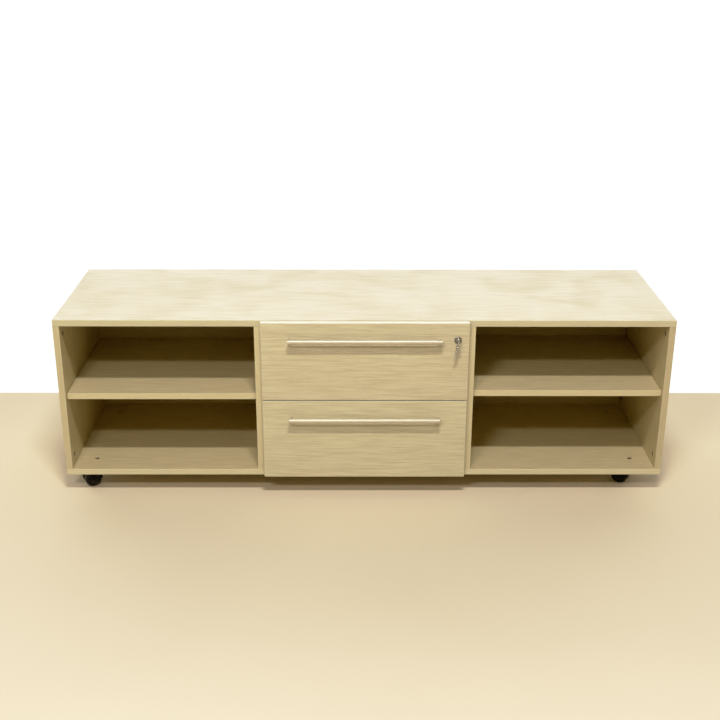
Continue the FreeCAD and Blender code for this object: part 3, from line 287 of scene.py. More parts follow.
def board_edges():
    """Arrises, band seam, banded faces and end faces of a board from its two corners."""
    tree, given, made = new_group(
        "board edges",
        [
            ("Vector", "Vector", None), ("Low", "Vector", None), ("High", "Vector", None),
            ("Thin", "Vector", None), ("Grain", "Vector", None), ("Band", "Float", 0.001),
        ],
        ["Arris", "Seam", "Banded", "End"],
    )
    from_low = vector_maths(tree, "SUBTRACT", given["Vector"], given["Low"])
    from_high = vector_maths(tree, "SUBTRACT", given["High"], given["Vector"])
    nearest = vector_maths(tree, "MINIMUM", from_low, from_high)
    through = vector_maths(tree, "DOT_PRODUCT", nearest, given["Thin"])
    along = vector_maths(tree, "DOT_PRODUCT", nearest, given["Grain"])
    x, y, z = separated(tree, vector_maths(tree, "ADD", nearest, given["Thin"]))
    inward = maths(tree, "MINIMUM", maths(tree, "MINIMUM", x, y), z)
    corner = maths(tree, "MAXIMUM", through, inward)
    feed(tree, made["Arris"], spread(tree, corner, 0.0003, 0.0016, 1.0, 0.0))
    feed(tree, made["Banded"], maths(tree, "LESS_THAN", inward, given["Band"]))
    feed(tree, made["End"], maths(tree, "LESS_THAN", along, given["Band"]))
    off = maths(tree, "ABSOLUTE", maths(tree, "SUBTRACT", inward, given["Band"]))
    line = spread(tree, off, 0.00010, 0.00024, 1.0, 0.0)
    flat = maths(tree, "LESS_THAN", through, 0.0006)
    feed(tree, made["Seam"], product(tree, line, flat))
    return tree


def handling_marks():
    """Faint wiped patches and fine dust specks."""
    tree, given, made = new_group(
        "handling marks", [("Vector", "Vector", None), ("Size", "Float", 0.12)], ["Patches", "Specks"]
    )
    scale = maths(tree, "DIVIDE", 1.0, given["Size"])
    feed(tree, made["Patches"], spread(tree, noise(tree, given["Vector"], scale, 4.0, 0.6), 0.4, 0.68))
    fine = product(tree, scale, 90.0)
    feed(tree, made["Specks"], spread(tree, noise(tree, given["Vector"], fine, 1.0), 0.70, 0.78))
    return tree


def brushing():
    """Fine lines drawn along an axis of a metal surface."""
    inputs = [("Vector", "Vector", None), ("Stretch", "Vector", (20.0, 900.0, 900.0))]
    tree, given, made = new_group("brushing", inputs, ["Lines", "Cloud"])
    drawn = vector_maths(tree, "MULTIPLY", given["Vector"], given["Stretch"])
    feed(tree, made["Lines"], noise(tree, drawn, 1.0, 3.0, 0.65))
    feed(tree, made["Cloud"], spread(tree, noise(tree, given["Vector"], 60.0, 3.0), 0.35, 0.65))
    return tree


def moulded_skin():
    """The fine spark texture of moulded plastic, with rubbed and dusty patches."""
    tree, given, made = new_group(
        "moulded skin", [("Vector", "Vector", None), ("Grit", "Float", 1400.0)], ["Grain", "Rubbed", "Dust"]
    )
    feed(tree, made["Grain"], noise(tree, given["Vector"], given["Grit"], 2.0))
    feed(tree, made["Rubbed"], spread(tree, noise(tree, given["Vector"], 85.0, 5.0, 0.7), 0.52, 0.72))
    low = spread(tree, separated(tree, given["Vector"])[2], 0.001, 0.022, 1.0, 0.0)
    feed(tree, made["Dust"], product(tree, low, noise(tree, given["Vector"], 260.0, 3.0)))
    return tree


GROUP_MAKERS = {
    "timber streaks": timber_streaks,
    "board edges": board_edges,
    "handling marks": handling_marks,
    "brushing": brushing,
    "moulded skin": moulded_skin,
}


def place_group(tree, name, inputs):
    """Place a shader node group in a material, and make it if it isn't there yet."""
    group = bpy.data.node_groups.get(name) or GROUP_MAKERS[name]()
    return add(tree, "ShaderNodeGroup", inputs, node_tree=group).outputs


def new_material(name):
    """A material, its tree, its shader and its Object coordinates."""
    material = bpy.data.materials.new(name)
    material.use_nodes = True
    tree = material.node_tree
    shader = tree.nodes["Principled BSDF"]
    return material, tree, shader.inputs, add(tree, "ShaderNodeTexCoord").outputs["Object"]


def surface(tree, shader, tone, roughness, height, strength, distance):
    """The colour, roughness and relief of a material."""
    feed(tree, shader["Base Color"], tone)
    feed(tree, shader["Roughness"], roughness)
    inputs = {"Height": height, "Strength": strength, "Distance": distance}
    feed(tree, shader["Normal"], add(tree, "ShaderNodeBump", inputs).outputs[0])


# Turns that bring the grain axis of a board on to X, and the same for its end faces
TURNS = {"X": (0, 0, 0), "Y": (0, 0, -math.pi / 2), "Z": (0, math.pi / 2, 0)}
AXES = {"X": (1, 0, 0), "Y": (0, 1, 0), "Z": (0, 0, 1)}


def turned_by(tree, place, turn, shift=(0, 0, 0)):
    """Coordinates shifted and turned."""
    return add(tree, "ShaderNodeMapping", {"Vector": place, "Location": shift, "Rotation": turn}).outputs[0]


def scaled(tint, by):
    """A colour made paler or deeper."""
    return [min(1.0, part * by) for part in tint]


def laminate(node, looks, grain, thin, number, tones, contrast):
    """Timber laminate for one board, from the board's own box."""
    low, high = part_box(node)
    light, dark, band = tones
    material, tree, shader, place = new_material(f"{node}_laminate")
    across = ({"X", "Y", "Z"} - {grain, thin}).pop()
    shift = (number * 0.731, number * 0.477, number * 0.613)
    turned = [turned_by(tree, place, TURNS[axis], shift) for axis in (grain, across)]
    inputs = {"Vector": place, "Low": low, "High": high, "Thin": AXES[thin], "Grain": AXES[grain]}
    edges = place_group(tree, "board edges", {**inputs, "Band": looks.band_width})
    wood = place_group(tree, "timber streaks", {
        "Vector": mix_vector(tree, edges["End"], *turned),
        "Along": looks.streak_length, "Across": looks.streak_width,
    })
    marks = place_group(tree, "handling marks", {"Vector": place})
    tone = mix_colour(tree, product(tree, wood["Streaks"], contrast), light, dark)
    middle = [(a + b) / 2 for a, b in zip(light, dark)]
    # Every arris of the board is mixed towards a paler colour
    pale_arris = (0.80, 0.72, 0.53)
    for mask, share, tint in (
        (wood["Broad"], 0.08, middle), (wood["Pores"], 0.35 * contrast, looks.pore),
        (edges["Banded"], 0.7, band), (edges["Arris"], 0.22, pale_arris), (edges["Seam"], 0.55, looks.pore),
    ):
        tone = mix_colour(tree, product(tree, mask, share), tone, tint)
    rough = maths(tree, "MULTIPLY_ADD", wood["Streaks"], 0.10, 0.40)
    rough = maths(tree, "MULTIPLY_ADD", marks["Patches"], 0.09, rough)
    relief = maths(tree, "MULTIPLY_ADD", wood["Pores"], -0.8, product(tree, wood["Streaks"], -0.4))
    relief = maths(tree, "MULTIPLY_ADD", edges["Seam"], -0.8, relief)
    surface(tree, shader, tone, rough, relief, 0.35, 0.00025)
    return material


def drawn_metal(name, tint, roughness, stretch, cloud=0.10, relief=0.06):
    """A metal with fine brushed lines and a soft cloud of handling."""
    material, tree, shader, place = new_material(name)
    lines = place_group(tree, "brushing", {"Vector": place, "Stretch": stretch})
    marks = place_group(tree, "handling marks", {"Vector": place, "Size": 0.03})
    deep = scaled(tint, 0.84)
    tone = mix_colour(tree, lines["Lines"], deep, scaled(tint, 1.12))
    tone = mix_colour(tree, product(tree, marks["Patches"], 0.25), tone, deep)
    rough = maths(tree, "MULTIPLY_ADD", lines["Lines"], 0.12, roughness - 0.06)
    rough = maths(tree, "MULTIPLY_ADD", lines["Cloud"], cloud, rough)
    surface(tree, shader, tone, rough, lines["Lines"], relief, 0.0001)
    shader["Metallic"].default_value = 1.0
    return material


def black_plastic(name, looks, grit, dust):
    """Moulded black plastic, rubbed grey in places and dusty near the floor."""
    material, tree, shader, place = new_material(name)
    skin = place_group(tree, "moulded skin", {"Vector": place, "Grit": grit})
    tone = mix_colour(tree, product(tree, skin["Rubbed"], 0.22), looks.plastic, looks.scuff)
    tone = mix_colour(tree, product(tree, skin["Dust"], dust), tone, looks.scuff)
    rough = maths(tree, "MULTIPLY_ADD", skin["Rubbed"], 0.16, 0.34)
    rough = maths(tree, "MULTIPLY_ADD", skin["Dust"], 0.3, rough)
    surface(tree, shader, tone, rough, skin["Grain"], 0.18, 0.0001)
    return material


def dowel_timber(name, light, dark):
    """Plain beech with fine dark flecks, upright in the boards."""
    material, tree, shader, place = new_material(name)
    inputs = {"Vector": turned_by(tree, place, TURNS["Z"]), "Along": 0.02, "Across": 0.0011}
    wood = place_group(tree, "timber streaks", inputs)
    tone = mix_colour(tree, wood["Streaks"], light, dark)
    tone = mix_colour(tree, wood["Pores"], tone, scaled(dark, 0.6))
    rough = maths(tree, "MULTIPLY_ADD", wood["Streaks"], 0.1, 0.55)
    surface(tree, shader, tone, rough, wood["Streaks"], 0.2, 0.0002)
    return material


# Meshes


def eased(corners, steps, closed):
    """Points of a profile whose corners, given as (radius, along, rounding), are rounded."""
    points = []
    count = len(corners)
    for place, (out, along, rounding) in enumerate(corners):
        here = Vector((out, along))
        if not rounding or (not closed and place in (0, count - 1)):
            points.append((out, along))
            continue
        before = Vector(corners[place - 1][:2]) - here
        after = Vector(corners[(place + 1) % count][:2]) - here
        start = here + before.normalized() * min(rounding, before.length * 0.5)
        end = here + after.normalized() * min(rounding, after.length * 0.5)
        for step in range(steps + 1):
            t = step / steps
            points.append(tuple(start * (1 - t) ** 2 + here * 2 * t * (1 - t) + end * t * t))
    return points


def arc(radius, start, sweep, steps):
    """Points on an arc round the origin, from its start and its sweep in degrees."""
    turns = [math.radians(start + sweep * step / steps) for step in range(steps + 1)]
    return [(radius * math.cos(turn), radius * math.sin(turn)) for turn in turns]


def quarter(axis, turns=1):
    """A quarter turn about an axis, or more of them."""
    return Matrix.Rotation(math.pi / 2 * turns, 4, axis)


def both_ends(corners, span):
    """The corners at the start of a profile, and the same at its end."""
    return corners + [(radius, span - along, rounding) for radius, along, rounding in reversed(corners)]


def bridge(mesh, rings):
    """Faces between rings of points that follow each other. A ring may be one point."""
    for first, second in zip(rings, rings[1:]):
        count = max(len(first), len(second))
        for step in range(count):
            after = (step + 1) % count
            corners = [
                first[step % len(first)], first[after % len(first)],
                second[after % len(second)], second[step % len(second)],
            ]
            corners = list(dict.fromkeys(corners))
            if len(corners) > 2:
                mesh.faces.new(corners)


def lathe(mesh, corners, start, axis, segments, steps=3, closed=False):
    """Turn a profile round an axis, from its corners as (radius, along, rounding)."""
    axis = Vector(axis).normalized()
    side = axis.orthogonal().normalized()
    up = axis.cross(side)
    rings = []
    for radius, along in eased(corners, steps, closed):
        centre = Vector(start) + axis * along
        if radius < 1e-7:
            rings.append([mesh.verts.new(centre)])
            continue
        circle = arc(1, 0, 360, segments)[:-1]
        rings.append([mesh.verts.new(centre + (side * x + up * y) * radius) for x, y in circle])
    bridge(mesh, rings + rings[:1] if closed else rings)


def block(mesh, low, high):
    """A plain block, as a cutter or a core."""
    corners = [mesh.verts.new(corner) for corner in itertools.product(*zip(low, high))]
    for face in ((0, 1, 3, 2), (4, 6, 7, 5), (0, 4, 5, 1), (2, 3, 7, 6), (0, 2, 6, 4), (1, 5, 7, 3)):
        mesh.faces.new([corners[number] for number in face])


def tidy(mesh):
    """Merge doubles and turn the faces outwards."""
    bmesh.ops.remove_doubles(mesh, verts=mesh.verts, dist=1e-6)
    bmesh.ops.recalc_face_normals(mesh, faces=mesh.faces)


def as_object(name, mesh):
    """An object for a mesh or a bmesh, linked to the scene."""
    if isinstance(mesh, bmesh.types.BMesh):
        tidy(mesh)
        data = bpy.data.meshes.new(name)
        mesh.to_mesh(data)
        mesh.free()
        mesh = data
    made = bpy.data.objects.new(name, mesh)
    bpy.context.scene.collection.objects.link(made)
    return made


def drop(made):
    """Remove an object that has served its purpose."""
    data = made.data
    bpy.data.objects.remove(made)
    if data is not None and data.users == 0:
        bpy.data.batch_remove([data])


def plain_mesh(made):
    """The evaluated mesh of an object, which is removed."""
    bpy.context.view_layer.update()
    graph = bpy.context.evaluated_depsgraph_get()
    mesh = bpy.data.meshes.new_from_object(made.evaluated_get(graph), depsgraph=graph)
    drop(made)
    return mesh


def modified(mesh, kind, **settings):
    """The mesh that a modifier makes of another one."""
    body = as_object("modified_body", mesh)
    change = body.modifiers.new("change", kind)
    for name, value in settings.items():
        setattr(change, name, value)
    return plain_mesh(body)


def carved(solid, cutter):
    """The mesh of a solid after a cutter is taken out of it."""
    tool = as_object("carving_tool", cutter)
    mesh = modified(solid, "BOOLEAN", operation="DIFFERENCE", solver="EXACT", object=tool)
    drop(tool)
    return mesh


def flat_blank(outlines, thickness, bevel):
    """A flat plate from 2D outlines, with softened rims and its middle at height 0."""
    curve = bpy.data.curves.new("blank", "CURVE")
    curve.dimensions = "2D"
    curve.fill_mode = "BOTH"
    curve.extrude = thickness / 2 - bevel
    curve.bevel_depth = bevel
    curve.bevel_resolution = 2
    curve.offset = -bevel
    for outline in outlines:
        spline = curve.splines.new("POLY")
        spline.points.add(len(outline) - 1)
        for point, (x, y) in zip(spline.points, outline):
            point.co = (x, y, 0, 1)
        spline.use_cyclic_u = True
    return plain_mesh(as_object("blank", curve))


def joined(meshes):
    """One mesh from several, which are removed."""
    mesh = bmesh.new()
    for data in meshes:
        mesh.from_mesh(data)
        bpy.data.meshes.remove(data)
    return mesh


def finish(name, mesh, body, material, node, angle=32):
    """A finished piece: its faces, its material, its body and the node that it stands for."""
    piece = as_object(name, mesh)
    data = piece.data
    data.materials.clear()
    data.materials.append(material)
    data.shade_smooth()
    data.set_sharp_from_angle(angle=math.radians(angle))
    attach(piece, body)
    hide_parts(node)


def paint(node, material):
    """Give a CAD node its material."""
    data = frame["nodes"][node].data
    data.materials.clear()
    data.materials.append(material)


def islands(node):
    """Each loose part of a CAD node, in the order of its mesh: points, lowest, highest and middle point."""
    mesh = bmesh.new()
    mesh.from_mesh(frame["nodes"][node].data)
    bmesh.ops.remove_doubles(mesh, verts=mesh.verts, dist=1e-6)
    seen = set()
    parts = []
    for start in mesh.verts:
        if start in seen:
            continue
        seen.add(start)
        queue = [start]
        part = []
        while queue:
            point = queue.pop()
            part.append(point.co.copy())
            for edge in point.link_edges:
                other = edge.other_vert(point)
                if other not in seen:
                    seen.add(other)
                    queue.append(other)
        low = Vector([min(point[axis] for point in part) for axis in range(3)])
        high = Vector([max(point[axis] for point in part) for axis in range(3)])
        parts.append((part, low, high, (low + high) / 2))
    mesh.free()
    return parts


def screw_places(node):
    """Where each screw of a node starts, where its head points, its head radius and its length."""
    places = []
    for part, low, high, middle in islands(node):
        size = high - low
        axis = max(range(3), key=lambda number: size[number])
        reach = {}
        for sign, end in ((-1, low[axis]), (1, high[axis])):
            ends = [point for point in part if abs(point[axis] - end) < 0.0002]
            flat = [math.hypot(*[p[n] - middle[n] for n in range(3) if n != axis]) for p in ends]
            reach[sign] = max(flat)
        sign = max(reach, key=reach.get)
        heading = Vector((0, 0, 0))
        heading[axis] = sign
        top = middle.copy()
        top[axis] = high[axis] if sign > 0 else low[axis]
        places.append((top, heading, reach[sign], size[axis]))
    return places


# Geometry Nodes


def new_geometry_tree(name, *inputs):
    """Start a Geometry Nodes tree with its named inputs."""
    inputs = [("Geometry", "Geometry", None), *inputs, ("Material", "Material", None)]
    return new_group(name, inputs, ["Geometry"], "Geometry", "GeometryNodeTree")


def close_tree(tree, given, result, geometry):
    """End a tree in Realize Instances and Set Material."""
    real = add(tree, "GeometryNodeRealizeInstances", {0: geometry}).outputs[0]
    done = add(tree, "GeometryNodeSetMaterial", {"Geometry": real, "Material": given["Material"]}).outputs[0]
    feed(tree, result["Geometry"], done)
    return tree


def template_copies(tree, given, points, turn, **more):
    """Copies of the template object on points."""
    shape = add(tree, "GeometryNodeObjectInfo", {"Object": given["Template"]}).outputs["Geometry"]
    inputs = {"Points": points, "Instance": shape, "Rotation": turn, **more}
    return add(tree, "GeometryNodeInstanceOnPoints", inputs).outputs[0]


def fasteners_tree():
    """Copies of a template on points, each turned to its heading and spun at random."""
    tree, given, result = new_geometry_tree(
        "fasteners", ("Template", "Object", None), ("Spin", "Float", math.pi), ("Size", "Float", 1.0),
        ("Seed", "Int", 4),
    )
    heading = add(tree, "GeometryNodeInputNamedAttribute", {"Name": "heading"}, data_type="FLOAT_VECTOR")
    aimed = add(tree, "FunctionNodeAlignRotationToVector", {"Vector": heading.outputs[0]}, axis="Z")
    turn = add(tree, "FunctionNodeRandomValue", data_type="FLOAT")
    feed(tree, turn.inputs[3], given["Spin"])
    feed(tree, turn.inputs["Seed"], given["Seed"])
    spin = joint_vector(tree, z=turn.outputs[1])
    spun = add(tree, "FunctionNodeRotateRotation", {0: aimed.outputs[0], 1: spin}, rotation_space="LOCAL")
    placed = template_copies(tree, given, given["Geometry"], spun.outputs[0], Scale=given["Size"])
    return close_tree(tree, given, result, placed)


def spokes_tree():
    """Ribs set round the middle of a wheel."""
    tree, given, result = new_geometry_tree("spokes", ("Template", "Object", None), ("Count", "Int", 8))
    points = add(tree, "GeometryNodeMeshLine", {"Count": given["Count"], "Offset": (0, 0, 0)}, mode="OFFSET")
    number = add(tree, "GeometryNodeInputIndex").outputs[0]
    share = maths(tree, "DIVIDE", product(tree, number, 2 * math.pi), given["Count"])
    placed = template_copies(tree, given, points.outputs[0], joint_vector(tree, z=share))
    return close_tree(tree, given, result, placed)


def split_ring_tree():
    """Wire wound twice into a flat ring."""
    tree, given, result = new_geometry_tree(
        "split ring", ("Radius", "Float", 0.007), ("Wire", "Float", 0.0004), ("Turns", "Float", 2.0),
        ("Height", "Float", 0.0008),
    )
    coil = add(tree, "GeometryNodeCurveSpiral", {
        "Resolution": 64, "Rotations": given["Turns"], "Start Radius": given["Radius"],
        "End Radius": given["Radius"], "Height": given["Height"],
    })
    section = {"Resolution": 12, "Radius": given["Wire"]}
    wire = add(tree, "GeometryNodeCurvePrimitiveCircle", section, mode="RADIUS")
    inputs = {"Curve": coil.outputs[0], "Profile Curve": wire.outputs[0], "Fill Caps": True}
    tube = add(tree, "GeometryNodeCurveToMesh", inputs)
    return close_tree(tree, given, result, tube.outputs[0])


TREE_MAKERS = {
    "fasteners": fasteners_tree,
    "spokes": spokes_tree,
    "split ring": split_ring_tree,
}


def grown(name, base, values):
    """The plain mesh that a Geometry Nodes tree makes on a base mesh."""
    tree = bpy.data.node_groups.get(name) or TREE_MAKERS[name]()
    holder = as_object("grown_base", base)
    change = holder.modifiers.new("grow", "NODES")
    change.node_group = tree
    for item in tree.interface.items_tree:
        if item.item_type == "SOCKET" and item.in_out == "INPUT" and item.name in values:
            change[item.identifier] = values[item.name]
    return plain_mesh(holder)


def point_cloud(places):
    """A mesh of loose points, each with its heading."""
    mesh = bpy.data.meshes.new("places")
    mesh.from_pydata([place for place, heading in places], [], [])
    field = mesh.attributes.new("heading", "FLOAT_VECTOR", "POINT")
    for number, (place, heading) in enumerate(places):
        field.data[number].vector = heading
    return mesh


def fasteners(name, shapes, places, body, material, node, spin=math.pi):
    """Fasteners of one body, from one or more shapes with their places."""
    meshes = []
    for seed, (shape, spots) in enumerate(zip(shapes, places), start=4):
        pattern = as_object("pattern", shape)
        values = {"Template": pattern, "Material": material, "Spin": spin, "Seed": seed}
        meshes.append(grown("fasteners", point_cloud(spots), values))
        drop(pattern)
    finish(name, joined(meshes), body, material, node)


def cross_cutter(arm, width, depth):
    """A cutter for the cross recess of a fastener whose head ends at height 0."""
    cutter = bmesh.new()
    for x, y in ((arm, width), (width, arm)):
        block(cutter, (-x, -y, -depth), (x, y, 0.001))
    return cutter


def head_rise(radius):
    """The height of a screw head, from its radius."""
    if radius > 0.0038:
        return 0.0026
    return 0.0012 if radius < 0.0032 else 0.0022


def cross_head_screw(head, reach):
    """A pan head screw with a cross recess, its head up at height 0 and its shank below."""
    rise, shank = head_rise(head), head * 0.5
    mesh = bmesh.new()
    lathe(mesh, [
        (0, 0, 0), (head * 0.72, 0, head * 0.2), (head, -rise * 0.75, rise * 0.3), (head, -rise, 0),
        (shank, -rise, 0), (shank, -reach + shank, 0), (0, -reach, 0),
    ], (0, 0, 0), (0, 0, 1), 28)
    return carved(mesh, cross_cutter(head * 0.56, head * 0.13, rise * 0.62))


# Operators


# How far the face and the edge band of a board stray from the common shades of the laminate. These are
# painted light and shade on one laminate: the top's face is painted darker, the drawer fronts' faces a
# little cooler, the edge bands of the bottom and the drawer fronts paler and bluer as a painted highlight,
# and the side panels' edge bands deeper as painted shade, the right one most.
PLAIN_SHADE = (1.0, 0.98, 0.91)
BOARD_PAINTED_LIGHT = {
    "top_panel": ((0.84, 0.86, 0.92), (0.98, 1.0, 1.05)),
    "bottom_panel": (PLAIN_SHADE, (1.06, 1.10, 1.18)),
    "left_side_panel": (PLAIN_SHADE, (0.88, 0.87, 0.86)),
    "right_side_panel": (PLAIN_SHADE, (0.82, 0.80, 0.78)),
    "upper_drawer_front": ((0.99, 1.03, 1.09), (1.15, 1.20, 1.60)),
    "lower_drawer_front": ((1.0, 1.06, 1.11), (1.15, 1.20, 1.60)),
}


class SIDEBOARD_OT_boards(Operator):
    """Laminate on the boards of the carcass and on the drawer fronts"""

    bl_idname = "sideboard.boards"
    bl_label = "Boards"

    def execute(self, context):
        looks = context.scene.sideboard.laminate
        boards = {
            "top_panel": "XZ", "bottom_panel": "XZ", "left_shelf": "XZ", "right_shelf": "XZ",
            "left_side_panel": "ZX", "right_side_panel": "ZX", "left_divider": "ZX", "right_divider": "ZX",
            "upper_drawer_front": "XY", "lower_drawer_front": "XY", "back_panel": "XY",
        }
        for number, (node, (grain, thin)) in enumerate(boards.items(), start=1):
            # Painted light and shade of this board, on its face and on its edge band
            face, edge = BOARD_PAINTED_LIGHT.get(node, (PLAIN_SHADE, (1.0, 1.0, 1.0)))
            tones = [
                [part * by for part, by in zip(tone, share)]
                for tone, share in ((looks.light, face), (looks.dark, face), (looks.band, edge))
            ]
            paint(node, laminate(node, looks, grain, thin, number, tones, looks.contrast))
        return {"FINISHED"}


class SIDEBOARD_OT_drawer_boxes(Operator):
    """Pale foil on the boards of the drawer boxes"""

    bl_idname = "sideboard.drawer_boxes"
    bl_label = "Drawer Boxes"

    def execute(self, context):
        looks = context.scene.sideboard.laminate
        pale, shade = (0.74, 0.70, 0.60), (0.60, 0.54, 0.42)
        tones = (pale, shade, pale)
        boards = (("sides", "YX", 0.5), ("ends", "XY", 0.5), ("bottom", "XZ", 0.4))
        for number, name in enumerate(DRAWERS, start=20):
            for step, (part, (grain, thin), contrast) in enumerate(boards):
                node = f"{name}_box_{part}"
                paint(node, laminate(node, looks, grain, thin, number + 3 * step, tones, contrast))
        return {"FINISHED"}


class SIDEBOARD_OT_handles(Operator):
    """Satin nickel bar handles on their posts"""

    bl_idname = "sideboard.handles"
    bl_label = "Handles"

    def execute(self, context):
        metal = context.scene.sideboard.metal
        along = drawn_metal("handle_nickel", metal.nickel, 0.60, (5.0, 400.0, 400.0), 0.05, 0.0)
        inside = 0.004
        for name in DRAWERS:
            body = f"{name}_drawer"
            low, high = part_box(f"{name}_handle_bar")
            axis = (low + high) / 2
            radius = (high.z - low.z) / 2
            end = [(0, 0, 0), (radius - 0.0006, 0, 0.0004), (radius, 0.0006, 0.0005)]
            mesh = bmesh.new()
            lathe(mesh, both_ends(end, high.x - low.x), (low.x, axis.y, axis.z), (1, 0, 0), 72)
            finish(f"{name}_handle_grip", mesh, body, along, f"{name}_handle_bar")
            mesh = bmesh.new()
            for _, low, high, middle in islands(f"{name}_handle_posts"):
                post = (high.x - low.x) / 2
                reach = high.y - axis.y - inside
                corners = [(0, 0, 0), (post, 0, 0.0003), (post, reach, 0), (0, reach, 0)]
                lathe(mesh, corners, (middle.x, high.y, middle.z), (0, -1, 0), 40)
            finish(f"{name}_handle_stems", mesh, body, along, f"{name}_handle_posts")
        return {"FINISHED"}


class SIDEBOARD_OT_lock(Operator):
    """The cam lock: collar and barrel, turning plug, nut, locking cam and keeper"""

    bl_idname = "sideboard.lock"
    bl_label = "Lock"

    def execute(self, context):
        metal = context.scene.sideboard.metal
        # Collar and plug take the lock's painted dark reflection as their colour
        collar = drawn_metal("lock_nickel", metal.lock, 0.26, (900.0, 60.0, 900.0), 0.14)
        face = drawn_metal("plug_painted_dark_reflection", scaled(metal.lock, 1.5), 0.24, (700.0, 60.0, 700.0), 0.1)
        steel = drawn_metal("lock_zinc", metal.zinc, 0.34, (260.0, 260.0, 900.0), 0.16)
        axis = (HOUSING_LOW + HOUSING_HIGH) / 2
        rim = (HOUSING_HIGH.x - HOUSING_LOW.x) / 2
        barrel = rim - 0.002
        bore = 0.00605
        reach = HOUSING_HIGH.y - HOUSING_LOW.y
        mesh = bmesh.new()
        lathe(mesh, [
            (bore, 0.0005, 0), (bore + 0.0006, 0, 0.0003), (bore + 0.0018, 0, 0.0004),
            (bore + 0.0022, 0.0005, 0.0003), (rim - 0.0024, 0.0005, 0.0004), (rim - 0.0018, 0, 0.0006),
            (rim, 0.0004, 0.0009), (rim, 0.002, 0.0002), (barrel, 0.002, 0),
            (barrel, reach - 0.0005, 0), (barrel - 0.0005, reach, 0), (bore, reach, 0),
        ], (axis.x, HOUSING_LOW.y, axis.z), (0, 1, 0), 80, steps=4, closed=True)
        finish("lock_collar", mesh, "upper_drawer", collar, "lock_housing")

        span = PLUG_HIGH.y - PLUG_LOW.y
        mesh = bmesh.new()
        mouth = (axis.x, PLUG_LOW.y, axis.z)
        lathe(mesh, [
            (0, 0.0002, 0), (0.0044, 0.0002, 0.0002), (0.0048, 0, 0.0002), (0.006, 0, 0.0004),
            (0.006, 0.002, 0), (0.006, span - 0.0035, 0), (0.004, span - 0.0035, 0),
            (0.004, span, 0.0003), (0, span, 0),
        ], mouth, (0, 1, 0), 64)
        slot = ((-0.00125, -0.001, -0.00365), (0.00125, 0.026, 0.00365))
        cutter = bmesh.new()
        block(cutter, *([a + b for a, b in zip(mouth, corner)] for corner in slot))
        finish("lock_cylinder", carved(mesh, cutter), "lock", face, "lock_plug", 25)
        for node in ("lock_nut", "lock_cam", "lock_keeper"):
            paint(node, steel)
        return {"FINISHED"}


def key_outlines():
    """Bow with its hole, neck and cut blade of a key: across first, then along, tip down."""
    half, back, front, corner = 0.013, 0.006, -0.016, 0.007
    neck, shoulder, blade, tip = 0.0045, front - 0.0017, 0.0034, -0.040
    root = front - 0.002
    steps = 8
    bow = []
    for x, y, start in (
        (half - corner, back - corner, 0), (corner - half, back - corner, 90),
        (corner - half, front + corner, 180), (half - corner, front + corner, 270),
    ):
        bow += [(x + across, y + along) for across, along in arc(corner, start, 90, steps)]
    stem = [(-neck, front - 0.00005), (-neck, shoulder), (-blade, root), (-blade, tip + blade)]
    stem += [(-0.0008, tip), (0.0008, tip), (blade, tip + blade)]
    for cut in (3, 2, 1):
        middle = root - cut * 0.0044
        stem += [(blade, middle - 0.0013), (blade - 0.0016, middle - 0.0002)]
        stem += [(blade - 0.0016, middle + 0.0002), (blade, middle + 0.0013)]
    stem += [(blade, root), (neck, shoulder), (neck, front - 0.00005)]
    last = 3 * (steps + 1)
    return [bow[:last] + stem + bow[last:], arc(0.003, 0, -360, 32)[:-1]]


class SIDEBOARD_OT_keys(Operator):
    """The key in the lock, the spare key and the split ring between them"""

    bl_idname = "sideboard.keys"
    bl_label = "Keys"

    def execute(self, context):
        looks = context.scene.sideboard.keys
        metal = context.scene.sideboard.metal
        bright = drawn_metal("key_nickel", metal.key, 0.24, (500.0, 500.0, 130.0), 0.12)
        ring_low, ring_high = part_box("key_ring")
        hole_y = JOINTS["key_ring_swing"]["pos_m"][1]
        lock_axis = (KEY_LOW + KEY_HIGH) / 2
        hang = lock_axis.z - JOINTS["key_ring_swing"]["pos_m"][2]
        spare = Vector(JOINTS["spare_key_swing"]["pos_m"])
        spare -= Vector((math.sin(looks.spare_lean), 0, math.cos(looks.spare_lean))) * hang
        stand = quarter("Y") @ quarter("Z")
        turns = {
            "key": ((lock_axis.x, hole_y, lock_axis.z), quarter("X"), "lock"),
            "spare_key": (spare, Matrix.Rotation(looks.spare_lean, 4, "Y"), "spare_key"),
        }
        for node, (place, turn, body) in turns.items():
            blank = flat_blank(key_outlines(), 0.002, 0.00025)
            groove = bmesh.new()
            for side in (-1, 1):
                low, high = sorted((side * 0.00055, side * 0.002))
                block(groove, (-0.0018, -0.0395, low), (-0.0006, -0.0178, high))
            blank = carved(joined([blank]), groove)
            blank.transform(Matrix.Translation(place) @ turn @ stand)
            finish(f"{node}_blank", blank, body, bright, node, 28)
        centre = (ring_low + ring_high) / 2
        values = {
            "Radius": looks.ring_radius, "Wire": looks.wire_radius, "Height": looks.wire_radius * 2,
            "Turns": 1.97, "Material": bright,
        }
        coil = grown("split ring", bpy.data.meshes.new("empty"), values)
        lift = Matrix.Translation((0, 0, -looks.wire_radius))
        coil.transform(Matrix.Translation(centre) @ quarter("X") @ lift)
        finish("split_ring", coil, "key_ring", bright, "key_ring", 50)
        return {"FINISHED"}


class SIDEBOARD_OT_runners(Operator):
    """Zinc on the drawer runners"""

    bl_idname = "sideboard.runners"
    bl_label = "Runners"

    def execute(self, context):
        metal = context.scene.sideboard.metal
        zinc = drawn_metal("runner_zinc", metal.zinc, 0.33, (900.0, 25.0, 900.0), 0.16)
        paint("cabinet_runners", zinc)
        for name in DRAWERS:
            paint(f"{name}_middle_runners", zinc)
            paint(f"{name}_drawer_runners", zinc)
        return {"FINISHED"}


